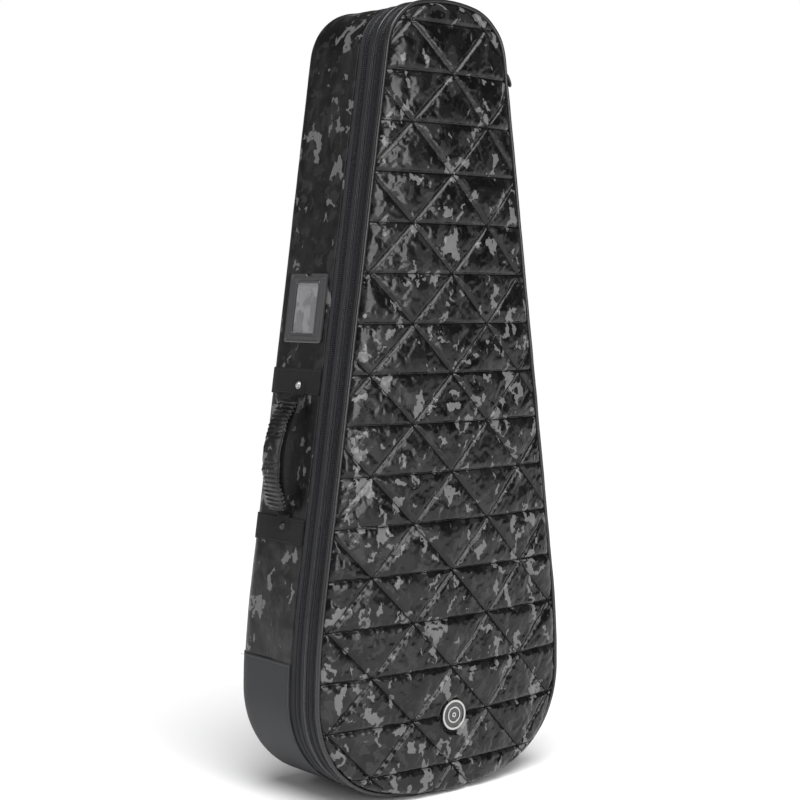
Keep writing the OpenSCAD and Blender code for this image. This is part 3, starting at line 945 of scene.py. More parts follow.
def panel_sheet(name, inset, height, facing, thick, rings):
    """A sheet over the whole outline. height(x, z, d) is its depth, d metres in from its edge."""
    p = RING_P[::3] - inset * RING_N[::3]
    p[:, 1] = np.maximum(p[:, 1], inset)
    count = len(p)
    core = np.stack([p[:, 0] * 0, np.clip(p[:, 1], 150 * MM, BODY_H - 130 * MM)], 1)
    verts = []
    for r in range(rings + 1):
        t = (r / rings) ** 1.25
        q = p + (core - p) * t
        d = np.linalg.norm(q - p, axis=1)
        verts.append(np.stack([q[:, 0], height(q[:, 0], q[:, 1], d), q[:, 1]], 1))
    verts = np.concatenate(verts)
    obj = mesh_object(name, verts, grid_faces(rings + 1, count))

    def weld(bm):
        bmesh.ops.remove_doubles(bm, verts=bm.verts, dist=0.4 * MM)
        bmesh.ops.recalc_face_normals(bm, faces=bm.faces)
        if sum(f.normal.y * f.calc_area() for f in bm.faces) * facing < 0:
            bmesh.ops.reverse_faces(bm, faces=bm.faces)

    mesh_edit(obj.data, weld)
    modify(obj, "SOLIDIFY", thickness=thick, offset=-1)
    apply_modifiers(obj)
    smooth_shade(obj)
    return obj


def back_height(x, z, d):
    """The back panel: a padded sheet sewn in along the gusset's turned edge."""
    lift = -2.4 * MM * np.exp(-d / (4 * MM)) - 0.3 * MM
    soft = fractal(x / (80 * MM), z / (80 * MM), 41) * 0.6 * MM - 0.5 * MM
    channel = sum(np.exp(-((z - level) / (2.5 * MM)) ** 2) for level in BACK_CHANNELS) * -1.6 * MM
    return Y_BACK + lift + soft + channel + rear_move(z)


def back_cloth():
    """The back's outer cloth."""
    obj = panel_sheet("back_cloth", SKIN_IN + REAR_TURN, back_height, 1, 1.4 * MM, 30)
    return finish_piece(obj, "case", MAT["camo"], "camo_fabric", "back_skin")


def back_at(x, z):
    """Depth of the back's surface, for what is sewn onto it."""
    return float(back_height(np.array([x]), np.array([z]), np.array([0.1]))[0])


def pulled_in(s, z, inset, y):
    """Moves a strip over the wall with the soft back."""
    return 0 * y, rear_move(z) + 0 * y


def boot_cloth():
    """The woven boot round the bottom of the wall."""
    section = wall_section(0.1 * MM, 1.2 * MM, Y_WALL + 2 * MM, Y_BACK + 0.6 * MM, REAR_TURN, 14)
    obj = sweep("boot_cloth", section, keep=lambda x, z: z < BOOT_H, shift=pulled_in)
    return finish_piece(obj, "case", MAT["boot"], "boot_fabric", "boot")


def boot_stitches():
    """Stitches round the boot's front edge and across its two ends."""
    rows = [along_ring(4 * MM, 0.15 * MM, Y_WALL + 5 * MM, lambda x, z: z < BOOT_H - 4 * MM)]
    for sign in (-1, 1):
        m = side_frame(BOOT_H - 3.5 * MM, sign)
        edge_x, edge_z = end_of_boot(sign)
        ys = np.arange(Y_WALL + 6 * MM, Y_BACK - 14 * MM, 4 * MM)
        count = len(ys)
        centres = np.stack([np.full(count, edge_x), ys, np.full(count, edge_z)], 1)
        rows.append((centres, same_way((0, 1, 0), count), same_way(m.col[0][:3], count),
                     same_way(m.col[2][:3], count)))
    parts = [np.concatenate([r[k] for r in rows]) for k in range(4)]
    obj = studs("boot_stitches", *parts, (3.0 * MM, 0.8 * MM, 0.5 * MM))
    return finish_piece(obj, "case", MAT["boot_thread"], "boot_fabric")


def end_of_boot(sign):
    """Point on the boot's surface just under its top edge, on one side."""
    right = RING_P[(RING_P[:, 0] > 0)]
    row = right[np.abs(right[:, 1] - (BOOT_H - 3.5 * MM)).argmin()]
    return sign * row[0], row[1]


def piping(name, y, body, node, radius, inset):
    """A vinyl-covered cord round the bag, not quite even."""
    def wobble(s, z, i, d):
        return (value_noise(s / (23 * MM), s * 0, 7) * 0.25 * MM + i * 0,
                value_noise(s / (31 * MM), s * 0, 8) * 0.35 * MM + d * 0)
    obj = sweep(name, round_section(inset, y, radius), shift=wobble)
    return finish_piece(obj, body, MAT["piping"], "piping", node)


def quilt_gap_painted_shade_cord():
    """Near-black cord in the gap between the quilt and its piping: painted shade standing in for the shadow
    in that gap.
    """
    obj = sweep("quilt_gap_painted_shade_cord", round_section(QUILT_IN + 0.8 * MM, Y_EDGE - 0.2 * MM, 1.5 * MM))
    finish_piece(obj, "pocket_cover", MAT["seam_thread"], "piping")


# =====================================================================
# Zips
# =====================================================================

def on_hinge(x, z):
    """The stretch of the right side where fabric joins a zip's two halves."""
    return (x > 0) & (z > HINGE_LOW) & (z < HINGE_HIGH)


def zip_side(label, y_part, sign, y_far, body, wide):
    """One half of a zip: tape under the coil, a narrow dark channel, then a folded band up to the seam."""
    fold = y_part + sign * wide
    start = fold + sign * 1.1 * MM
    near_y = y_part + sign * SPLIT / 2
    tape = sweep(f"{label}_tape_by_coil", strip_section(TAPE_IN, TAPE_T, near_y, fold + sign * 2.0 * MM, 5))
    finish_piece(tape, body, MAT["tape_dark"], "zip_tape", f"{label}_tape")
    if abs(y_far - start) > 2 * MM:
        outer = sweep(f"{label}_tape_band", padded_band(start, y_far, TAPE_IN - 1.0 * MM, 2.0 * MM))
        finish_piece(outer, body, MAT["tape_flat" if sign < 0 else "tape_dotted"], "zip_tape")

    def row(name, pitch, y, size, *replaced):
        places = along_ring(pitch, TAPE_IN, y_part + sign * y, lambda x, z: ~on_hinge(x, z))
        obj = studs(f"{label}_coil_{name}", *places, size)
        finish_piece(obj, body, MAT["coil"], "zip_coil", *replaced)

    width = COIL_HALF - 0.4 * MM
    row("teeth", 2.6 * MM, SPLIT / 2 + width / 2 + 0.1 * MM, (1.35 * MM, width, 1.45 * MM), f"{label}_coil")
    row("stitches", 3.0 * MM, COIL_HALF + 1.2 * MM, (1.9 * MM, 0.9 * MM, 0.6 * MM))


def padded_band(y0, y1, inset, thick):
    """Section of a folded tape: a low flat-topped hump between two edges."""
    t = np.linspace(0, 1, 7)
    rise = 1.0 - np.abs(2 * t - 1) ** 6
    outer = [(inset + 0.7 * MM * (1 - r), y0 + (y1 - y0) * k) for r, k in zip(rise, t)]
    return outer + [(inset + thick, y1), (inset + thick, y0)]


def seam_stitches(name, y, body):
    """Topstitching along the rear edge of a zip."""
    places = along_ring(3.6 * MM, TAPE_IN - 1.0 * MM, y)
    obj = studs(name, *places, (2.7 * MM, 0.7 * MM, 0.45 * MM))
    return finish_piece(obj, body, MAT["thread"], "zip_tape")


def hinge_cloth(name, y, node):
    """Cloth that bends where a zip's two halves are joined instead of zipped."""
    reach = 6.5 * MM
    obj = sweep(name, strip_section(COIL_IN + 0.3 * MM, 0.9 * MM, y - reach, y + reach, 18), keep=on_hinge)
    obj.data.materials.append(MAT["tape_flat"])
    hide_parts(node)
    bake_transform(obj)
    return obj


# =====================================================================
# Left side: bands, handle, label
# =====================================================================

def grid_patch(name, frame_m, width, height, shape, nu, nv, depth=SKIN_IN):
    """A closed padded patch in a side's local frame; shape(u, v) gives its outer height."""
    u = np.linspace(-0.5, 0.5, nu)
    v = np.linspace(-0.5, 0.5, nv)
    gu, gv = [a.ravel() for a in np.meshgrid(u * width, v * height, indexing="ij")]
    front = np.stack([shape(gu, gv), gu, gv], 1)
    back = np.stack([np.full(nu * nv, -depth), gu, gv], 1)
    world = [frame_m @ Vector(p) for p in np.concatenate([front, back])]
    obj = mesh_object(name, world, patch_faces(nu, nv))
    set_path(obj, np.tile(np.stack([gu, gv, gu * 0], 1), (2, 1)))
    return obj


def webbing_bands():
    """Two bands of webbing that cross the wall and turn with it onto the back."""
    for label, sign in (("upper", 1), ("lower", -1)):
        middle = HANDLE_Z + sign * (HANDLE_SPAN / 2 + 1.5 * MM + BAND_W / 2) * math.cos(TAPER)
        z0, z1 = middle - BAND_W / 2, middle + BAND_W / 2
        section = wall_section(0.2 * MM, 1.2 * MM, Y_WALL + 1.0 * MM, Y_BACK + 0.9 * MM, REAR_TURN, 24)

        def lie(s, z, i, y):
            return 0.25 * MM * fractal(s / (30 * MM), y / (26 * MM), 3) + 0 * y, rear_move(z) + 0 * y

        obj = sweep(f"band_{label}", section, keep=lambda x, z: (x < 0) & (z > z0) & (z < z1), shift=lie)
        finish_piece(obj, "case", MAT["webbing"], "webbing", "handle_bands")
        ys = np.arange(Y_WALL + 6 * MM, Y_BACK - REAR_TURN, 4 * MM)
        edges = [side_frame(edge, -1) for edge in (z0 + 3.4 * MM, z1 - 3.4 * MM)]
        centres = np.array([m @ Vector((0.0, y, 0)) for m in edges for y in ys])
        turn = side_frame(middle, -1)
        axes = [same_way(turn.col[k][:3], len(centres)) for k in (1, 0, 2)]
        thread = studs(f"band_{label}_stitches", centres, *axes, (3.0 * MM, 0.7 * MM, 0.45 * MM))
        finish_piece(thread, "case", MAT["thread"], "webbing")


def arc_frame():
    """Radius and half angle of the handle's arc."""
    r = ((HANDLE_SPAN / 2) ** 2 + HANDLE_RISE ** 2) / (2 * HANDLE_RISE)
    return r, math.asin(HANDLE_SPAN / 2 / r)


def arc_sweep(name, half_angle, section, n):
    """Carries section(t) along the handle's arc; t runs from -1 to 1."""
    r, _ = arc_frame()
    centre = AXIS_OUT + HANDLE_RISE - r
    verts = []
    for i in range(n):
        t = -1 + 2 * i / (n - 1)
        a = t * half_angle
        for off, across in section(t):
            at = Vector((centre + (r + off) * math.cos(a), across, (r + off) * math.sin(a)))
            verts.append(LEFT_HANDLE @ at)
    k = len(verts) // n
    obj = mesh_object(name, verts, grid_faces(n, k) + end_caps(n, k))
    run = np.repeat(np.linspace(-half_angle, half_angle, n) * r, k)
    around = np.tile(np.linspace(0, 0.08, k), n)
    set_path(obj, np.stack([run, around, run * 0], 1))
    return obj


def handle():
    """Gathered cloth over a black padded base that runs on into the webbing bands."""
    r, half = arc_frame()
    reach = half * 0.89

    def ruched(t):
        """Gathered cover: even in the middle, with deep folds across where it is drawn in at the ends."""
        end = min(1.0, (1 - abs(t)) / 0.06)
        pinch = 0.62 + 0.38 * math.sqrt(max(end, 0.0))
        s = t * reach * r
        gather = abs(t) ** 1.5
        points = []
        for a in np.linspace(0, 2 * math.pi, 44, endpoint=False):
            uneven = value_noise(np.array([a * 1.3]), np.array([s / 0.02]), 60)[0]
            wander = 0.35 * math.sin(2 * a + 3 * t) + 0.5 * uneven
            fold = math.sin(2 * math.pi * s / (6.2 * MM) + 2.4 * wander)
            lump = value_noise(np.array([s / (8 * MM)]), np.array([a * 0.9 + 5]), 62)[0]
            swell = 1 + 0.30 * fold * gather + 0.12 * lump
            wide = GRIP_W / 2 * pinch * (1 + 0.5 * (swell - 1))
            thick = 3.6 * MM * pinch * swell
            points.append((thick * signed_power(math.cos(a), 0.75) + 2.2 * MM,
                           wide * signed_power(math.sin(a), 0.7)))
        return points

    grip = arc_sweep("handle_cover", reach, ruched, 190)
    finish_piece(grip, "handle", MAT["grip"], "grip_fabric", "handle_grip")

    def base(t):
        """The black underside: nearly as wide as the cover, thinning into flat webbing at its ends."""
        body = math.sqrt(max(0.0, 1 - abs(t) ** 4))
        wide = 5.5 * MM + (GRIP_W / 2 - 6.5 * MM) * body ** 1.6
        thick = 1.4 * MM + 3.2 * MM * body
        return [(0.4 * MM - thick + thick * signed_power(math.cos(a), 0.7),
                 wide * signed_power(math.sin(a), 0.6))
                for a in np.linspace(0, 2 * math.pi, 28, endpoint=False)]

    core = arc_sweep("handle_webbing", half, base, 80)
    finish_piece(core, "handle", MAT["seam_thread"], "webbing", "handle_core")


def rounded_loop(w, h, r, n, between):
    """Points round a rectangle with rounded corners, n to a corner and some more along each straight side."""
    points = []
    for cx, cy, a0 in ((w / 2 - r, h / 2 - r, 0), (-w / 2 + r, h / 2 - r, 90),
                       (-w / 2 + r, -h / 2 + r, 180), (w / 2 - r, -h / 2 + r, 270)):
        turn = [math.radians(a0 + 90 * k / n) for k in range(n + 1)]
        corner = [(cx + r * math.cos(a), cy + r * math.sin(a)) for a in turn]
        if points:
            (ax, ay), (bx, by) = points[-1], corner[0]
            side = np.linspace(0, 1, between + 2)[1:-1]
            points += [(ax + (bx - ax) * t, ay + (by - ay) * t) for t in side]
        points += corner
    return points


def label_window():
    """Welded vinyl frame with a stepped rim round its opening, a thumb notch, and rippled film."""
    w, h = LABEL_W, LABEL_H
    ow, oh = LABEL_W - 34 * MM, LABEL_H - 26 * MM
    # steps: the size they start from, how much that is grown, corner radius and height, in millimetres
    steps = [(w, h, 0, 5, -1.5), (w, h, 0, 5, 1.1), (w, h, -1.6, 4.6, 1.7), (w, h, -5, 4.2, 1.8),
             (w, h, -6.4, 4, 1.0), (w, h, -9, 3.8, 1.05), (w, h, -10.4, 3.6, 1.8), (ow, oh, 9, 3.4, 1.9),
             (ow, oh, 7.6, 3.2, 1.2), (ow, oh, 5.4, 3.1, 1.2), (ow, oh, 4, 3, 2.2), (ow, oh, 1, 3, 2.1),
             (ow, oh, 0, 3, 1.4), (ow, oh, 0, 3, -1.5)]
    verts = []
    for wide, high, grown, radius, rise in steps:
        a, b = wide + grown * MM, high + grown * MM
        loop = rounded_loop(a, b, radius * MM, 6, 14)
        notch = 5.5 * MM if a > w - 6 * MM else 0
        for px, py in loop:
            dip = notch * math.exp(-(px / (4 * MM)) ** 4) if py > b * 0.49 else 0
            verts.append(LEFT_LABEL @ Vector((rise * MM, px, py - dip)))
    rim = mesh_object("label_rim", verts, grid_faces(len(steps), len(loop), closed_rows=True), smooth=False)
    finish_piece(rim, "case", MAT["vinyl"], "label_frame", "label_frame")

    def rippled(u, v):
        return 0.3 * MM + 0.45 * MM * fractal(u / (19 * MM), v / (24 * MM), 77, 2)

    film = grid_patch("label_window_film", LEFT_LABEL, ow, oh, rippled, 34, 46, depth=0.25 * MM)
    finish_piece(film, "case", MAT["film"], "film", "label_film")


def turned(name, m, profile):
    """A round piece about the local X axis, from (radius, height) points in millimetres."""
    steps = 32
    turns = [2 * math.pi * k / steps for k in range(steps)]
    verts = [m @ (Vector((h, r * math.cos(a), r * math.sin(a))) * MM) for r, h in profile for a in turns]
    rows = len(profile)
    return mesh_object(name, verts, grid_faces(rows, steps) + end_caps(rows, steps))


def rivets():
    """Domed rivets that hold the handle's ends. The lower one gets a darkened copy of the nickel: painted
    shade, not a different metal.
    """
    dome = [(4.4 * math.cos(a), 0.8 + 2.6 * math.sin(a)) for a in np.linspace(0, math.pi / 2 * 0.96, 9)][::-1]
    profile = dome + [(5.4, 0.7), (5.7, 0.35), (5.7, 0.0), (0.5, 0.0)]
    for label, sign, look in (("upper", 1, "rivet"), ("lower", -1, "rivet_painted_shade")):
        m = LEFT_HANDLE @ Matrix.Translation((1.0 * MM, 0, sign * (HANDLE_SPAN / 2 + 15 * MM)))
        finish_piece(turned(f"rivet_{label}", m, profile), "case", MAT[look], "bright_metal", "rivets")


def handle_tabs():
    """Short webbing tabs under the rivets, where the handle's ends are sewn to the bands."""
    for label, sign in (("upper", 1), ("lower", -1)):
        m = LEFT_HANDLE @ Matrix.Translation((0, 0, sign * (HANDLE_SPAN / 2 + 9 * MM)))

        def surface(u, v):
            edge = np.clip(np.minimum(13 * MM - np.abs(u), 11 * MM - np.abs(v)) / (3 * MM), 0, 1)
            return 0.2 * MM + 1.0 * MM * edge ** 0.5

        tab = grid_patch(f"handle_tab_{label}", m, 26 * MM, 22 * MM, surface, 24, 20)
        finish_piece(tab, "case", MAT["webbing"], "webbing", "handle_anchors")


# =====================================================================
# Foam, linings and the pads inside
# =====================================================================

def inner_walls():
    """Foam and plush lining of the case's wall, with a bound front rim that hides the foam."""
    def still(s, z, i, y):
        return 0 * y, rear_move(z) * np.clip((y - Y_WALL) / (Y_BACK - Y_WALL), 0, 1)

    def slack(s, z, i, y):
        return 0.5 * MM * fractal(s / (40 * MM), y / (30 * MM), 51) + 0 * y, still(s, z, i, y)[1]

    section = wall_section(FOAM_IN, 8.0 * MM, Y_WALL + 1 * MM, Y_BACK - 2.4 * MM, REAR_TURN - 3 * MM)
    finish_piece(sweep("wall_foam", section, shift=still), "case", MAT["foam"], "foam", "gusset_foam")
    section = wall_section(LINING_IN, 0.8 * MM, Y_WALL + 0.5 * MM, Y_BACK - 13.5 * MM, 12 * MM)
    finish_piece(sweep("wall_lining", section, shift=slack), "case", MAT["lining"], "lining", "gusset_lining")
    section = bound_edge(TAPE_IN + TAPE_T + 0.4 * MM, LINING_IN + 2.4 * MM, Y_WALL)
    finish_piece(sweep("wall_rim_binding", section), "case", MAT["binding"], "lining")


def bound_edge(i0, i1, y):
    """Section of a binding folded over the front edge of a padded wall."""
    middle, half = (i0 + i1) / 2, (i1 - i0) / 2
    over = [(middle - half * math.cos(a), y - 2.2 * MM * math.sin(a)) for a in np.linspace(0, math.pi, 10)]
    return over + [(i1, y + 9 * MM), (i1 - 0.9 * MM, y + 9 * MM), (i1 - 0.9 * MM, y + 1 * MM),
                   (i0 + 0.9 * MM, y + 1 * MM)]


def quilted_lining(name, node, body, inset, y, facing):
    """A plush sheet with wide stitched squares, which sink a little along their seams."""
    def height(x, z, d):
        pitch = 90 * MM
        a = np.abs((x + z) / pitch / math.sqrt(2) % 1 - 0.5) * 2
        b = np.abs((x - z) / pitch / math.sqrt(2) % 1 - 0.5) * 2
        seam = np.minimum(1 - a, 1 - b) * pitch / 2
        puff = 0.7 * MM * (1 - np.exp(-seam / (7 * MM))) - 0.9 * MM * np.exp(-d / (6 * MM))
        return y + facing * (puff - 0.4 * MM) + 0.4 * MM * fractal(x / (60 * MM), z / (60 * MM), 63)

    obj = panel_sheet(name, inset, height, facing, 0.8 * MM, 44)
    return finish_piece(obj, body, MAT["lining"], "lining", node)


def linings():
    """Plush linings and the foam behind them, with a binding round the lid."""
    back_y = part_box("back_lining")[0].y
    quilted_lining("back_plush", "back_lining", "case", LINING_IN + 8 * MM, back_y, -1)
    for name, node, body, facing in (("lid_plush", "lid_lining", "lid", 1),
                                     ("lid_pocket_side", "lid_skin", "lid", -1),
                                     ("cover_plush", "cover_lining", "pocket_cover", 1)):
        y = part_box(node)[1 if facing > 0 else 0].y
        quilted_lining(name, node, body, node_inset(node), y, facing)
    for name, node, body in (("back_padding", "back_foam", "case"), ("lid_padding", "lid_foam", "lid"),
                             ("cover_padding", "cover_foam", "pocket_cover")):
        padding(name, node, body)
    edge_binding("lid_binding", node_inset("lid_skin") - 1.5 * MM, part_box("lid_skin")[0].y,
                 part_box("lid_lining")[1].y, "lid")


def node_inset(node):
    """How far a node's edge lies inside the bag's widest outline."""
    return BODY_W / 2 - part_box(node)[1].x


def edge_binding(name, inset, y0, y1, body):
    """Binding round the edge of a flat padded panel."""
    middle, half = (y0 + y1) / 2, (y1 - y0) / 2 + 0.6 * MM
    outer = [(inset + 1.2 * MM - 1.6 * MM * math.cos(a), middle + half * math.sin(a))
             for a in np.linspace(-math.pi / 2, math.pi / 2, 9)]
    inner = [(inset + 9 * MM, middle + half), (inset + 9 * MM, middle - half)]
    return finish_piece(sweep(name, outer + inner), body, MAT["binding"], "lining")


def padding(name, node, body):
    """Foam sheet with softly worn edges and an uneven cut surface."""
    low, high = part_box(node)
    crowned = node == "cover_foam"

    def surface(x, z, d):
        base = low.y + x * 0
        if node == "back_foam":
            base = base + rear_move(z) - 2.0 * MM
        if crowned:
            base = front_height(x, z, d + 3 * MM) + 3.5 * MM
        edge = np.minimum(3 * MM * (1 - np.clip(d / (6 * MM), 0, 1)) ** 2, 3 * MM)
        return np.minimum(base + edge, high.y - 2 * MM) + 0.3 * MM * fractal(x / (25 * MM), z / (25 * MM), 71)

    extra = REAR_TURN * 0.55 if node == "back_foam" else 0
    thick = (high.y - low.y) * (0.2 if crowned else 0.65)
    obj = panel_sheet(name, node_inset(node) + extra, surface, -1, thick, 26)
    return finish_piece(obj, body, MAT["foam"], "foam", node)


def copy_of(node, name):
    """A new object with the same shape as a CAD node."""
    obj = link_object(name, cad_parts[node].data.copy())
    obj.data.materials.clear()
    return obj


def stuffed(node, name, material, slot, voxel, cap, shrink):
    """A pad made from a CAD solid: remeshed, blown out a little as cloth, and smoothed.

    Voxel, cap and shrink are in millimetres; cap is the furthest that a point may move."""
    obj = copy_of(node, name)
    modify(obj, "REMESH", mode="VOXEL", voxel_size=voxel * MM)
    modify(obj, "SMOOTH", iterations=4)
    modify(obj, "DISPLACE", strength=-shrink * MM, mid_level=0)
    apply_modifiers(obj)
    start = read_points(obj)
    inflate(obj, [], 16, 4.0, 0.02)
    move = read_points(obj) - start
    size = np.linalg.norm(move, axis=1, keepdims=True)
    write_points(obj, start + move / np.maximum(size, 1e-9) * np.minimum(size, cap * MM))
    modify(obj, "SUBSURF", levels=1)
    apply_modifiers(obj)
    smooth_shade(obj)
    points = read_points(obj)
    set_path(obj, np.stack([points[:, 2], points[:, 0], points[:, 1]], 1))
    finish_piece(obj, "case", MAT[material], slot, node)
    return obj


# =====================================================================
# Back: straps, webbing, buckles
# =====================================================================

def ribbon(name, points, across, width, thick, *replaced):
    """Webbing carried along points, its flat side square to across. Its edges are thin and rounded."""
    pts = [Vector(q) for q in points]
    across = Vector(across).normalized()
    half = [(-1, 0), (-0.96, 0.42), (-0.85, 0.5), (0.85, 0.5), (0.96, 0.42), (1, 0), (0.96, -0.42),
            (0.85, -0.5), (-0.85, -0.5), (-0.96, -0.42)]
    verts, path, run = [], [], 0.0
    for i, q in enumerate(pts):
        ahead = (pts[min(i + 1, len(pts) - 1)] - pts[max(i - 1, 0)]).normalized()
        up = across.cross(ahead).normalized()
        if i:
            run += (q - pts[i - 1]).length
        for a, b in half:
            verts.append(q + across * (a * width / 2) + up * (b * thick))
            path.append((run, a * width / 2, 0))
    obj = mesh_object(name, verts, grid_faces(len(pts), len(half)) + end_caps(len(pts), len(half)))
    set_path(obj, path)
    return finish_piece(obj, "case", MAT["webbing"], "webbing", *replaced)


def back_harness():
    """The shoulder straps with their lower webbing and buckles, the yoke and the hang loop."""
    lock_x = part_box("ladder_locks")[1].x - 18 * MM
    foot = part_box("strap_webbing")
    top_z = foot[1].z
    for side, sign in (("left", -1), ("right", 1)):
        stuffed(f"shoulder_strap_{side}", f"padded_strap_{side}", "strap", "strap_pad",
                voxel=4.5, cap=4.0, shrink=1.6)
        strap_trim(side, sign)
        points = []
        for t in np.linspace(0, 1, 16):
            z = top_z + 10 * MM - t * (top_z - foot[0].z - 6 * MM)
            x = sign * lock_x + sign * (top_z - z) * math.tan(WEBBING_LEAN)
            bow = 3.0 * MM * math.sin(math.pi * min(t * 1.15, 1)) + 1.2 * MM
            points.append((x, back_at(x, z) + bow, z))
        across = (math.cos(WEBBING_LEAN), 0, sign * math.sin(WEBBING_LEAN))
        ribbon(f"strap_webbing_{side}", points, across, WEBBING_W, 1.6 * MM, "strap_webbing")
    rounded_copy("ladder_locks", "ladder_buckles", "case", "rubber", "moulding", 1.1 * MM)
    yoke()
    hang_loop()


def strap_trim(side, sign):
    """Binding tape round the strap's edge, with a stitched webbing down its middle."""
    low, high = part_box(f"shoulder_strap_{side}")
    half_w, corner = 33 * MM, 22 * MM
    tape = (1.7 * MM, 4.6 * MM)
    length = (high.z - low.z) / math.cos(STRAP_LEAN) - 2 * half_w * math.sin(STRAP_LEAN)
    m = Matrix.Translation((low + high) / 2) @ Matrix.Rotation(-sign * STRAP_LEAN, 4, "Y")
    loop = rounded_loop(2 * half_w, length, corner, 8, 16)
    loop += [(half_w, t) for t in np.linspace(-length / 2 + corner, length / 2 - corner, 18)[1:-1]]
    centres = [m @ Vector((a, 0, b)) for a, b in loop]
    verts, path = [], []
    n, k = len(centres), 8
    run = 0.0
    for i, c in enumerate(centres):
        ahead = (centres[(i + 1) % n] - centres[i - 1]).normalized()
        out = ahead.cross(Vector((0, 1, 0))).normalized()
        run += (c - centres[i - 1]).length if i else 0
        for j in range(k):
            a = 2 * math.pi * j / k
            verts.append(c + out * (tape[0] * math.cos(a)) + Vector((0, tape[1] * math.sin(a), 0)))
            path.append((run, tape[1] * math.sin(a), 0))
    trim = mesh_object(f"strap_binding_{side}", verts, grid_faces(n, k, closed_rows=True))
    set_path(trim, path)
    finish_piece(trim, "case", MAT["binding"], "strap_pad")
    proud = (high.y - low.y) / 2 + 0.9 * MM
    points = [m @ Vector((0, proud, t)) for t in np.linspace(-length / 2 + 6 * MM, length / 2 - 4 * MM, 24)]
    ribbon(f"strap_spine_{side}", points, m.col[0][:3], WEBBING_W, 1.5 * MM)


def yoke():
    """The stitched patch that both shoulder straps come out of."""
    low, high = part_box("strap_yoke")
    nu, nv = 60, 24
    wide, tall = high.x - low.x, high.z - low.z
    middle_z = (high.z + low.z) / 2
    corner = 10 * MM
    verts, path = [], []
    for layer in (1, 0):
        for i in range(nu):
            for k in range(nv):
                u = (i / (nu - 1) - 0.5) * wide
                v = (k / (nv - 1) - 0.5) * tall
                past = max(0.0, abs(u) - wide / 2 + corner), max(0.0, abs(v) - tall / 2 + corner)
                if math.hypot(*past) > corner and min(past) > 0:
                    u -= math.copysign(past[0] - past[0] * corner / math.hypot(*past), u)
                    v -= math.copysign(past[1] - past[1] * corner / math.hypot(*past), v)
                edge = min(wide / 2 - abs(u), tall / 2 - abs(v))
                hem = -0.9 * MM * math.exp(-((edge - 6 * MM) / (1.2 * MM)) ** 2)
                puff = 0.6 * MM + 2.6 * MM * min(1, max(edge, 0) / (4 * MM)) ** 0.5
                verts.append((u, back_at(u, middle_z + v) + (puff + hem) * layer, middle_z + v))
                path.append((u, v, 0))
    obj = mesh_object("yoke_patch", verts, patch_faces(nu, nv))
    set_path(obj, path)
    finish_piece(obj, "case", MAT["camo"], "camo_fabric", "strap_yoke")
    seam = rounded_loop(wide - 12 * MM, tall - 12 * MM, 7 * MM, 6, 24)
    places = []
    for (ax, az), (bx, bz) in zip(seam, seam[1:] + seam[:1]):
        n = max(1, round(math.hypot(bx - ax, bz - az) / (4 * MM)))
        places += [(ax + (bx - ax) * t / n, az + (bz - az) * t / n) for t in range(n)]
    centres = np.array([(a, back_at(a, middle_z + b) + 2.6 * MM, middle_z + b) for a, b in places])
    along = np.roll(centres, -1, 0) - centres
    along[:, 1] = 0
    along = unit_rows(along)
    out = same_way((0, 1, 0), len(centres))
    thread = studs("yoke_stitches", centres, along, out, np.cross(along, out), (3.0 * MM, 0.8 * MM, 0.5 * MM))
    finish_piece(thread, "case", MAT["thread"], "webbing")


def hang_loop():
    """A short loop of webbing on the back, sewn down at both ends."""
    low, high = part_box("hang_loop")
    cx, cy, cz = (low + high) / 2
    r = (high.z - low.z) / 2 - 0.8 * MM
    foot = back_at(0, cz)
    points = [(cx, foot + 1.0 * MM, cz - r - 16 * MM), (cx, foot + 1.2 * MM, cz - r - 6 * MM)]
    points += [(cx, cy + r * math.sin(a), cz - r * math.cos(a)) for a in np.linspace(-0.5, math.pi + 0.5, 22)]
    points += [(cx, foot + 1.2 * MM, cz + r + 6 * MM), (cx, foot + 1.0 * MM, cz + r + 16 * MM)]
    ribbon("hang_loop_webbing", points, (1, 0, 0), WEBBING_W, 1.5 * MM, "hang_loop")


# =====================================================================
# Hardware
# =====================================================================

def rounded_copy(node, name, body, material, slot, width):
    """A CAD node's shape with rounded edges."""
    obj = copy_of(node, name)
    modify(obj, "BEVEL", width=width, segments=3, limit_method="ANGLE", angle_limit=math.radians(35))
    apply_modifiers(obj)
    smooth_shade(obj)
    modify(obj, "EDGE_SPLIT", split_angle=math.radians(40))
    apply_modifiers(obj)
    return finish_piece(obj, body, MAT[material], slot, node)


def wire_loop(name, pts, radius, body, node):
    """A closed loop of round wire."""
    n, k = len(pts), 10
    turns = [2 * math.pi * j / k for j in range(k)]
    verts = []
    for i, q in enumerate(pts):
        ahead = (pts[(i + 1) % n] - pts[i - 1]).normalized()
        aside = (0.13, 0.07, 0.99) if abs(ahead.z) < 0.9 else (0.1, 1, 0)
        side = ahead.cross(Vector(aside)).normalized()
        up = side.cross(ahead)
        verts += [q + side * (radius * math.cos(a)) + up * (radius * math.sin(a)) for a in turns]
    obj = mesh_object(name, verts, grid_faces(n, k, closed_rows=True))
    return finish_piece(obj, body, MAT["steel"], "slider_metal", node)


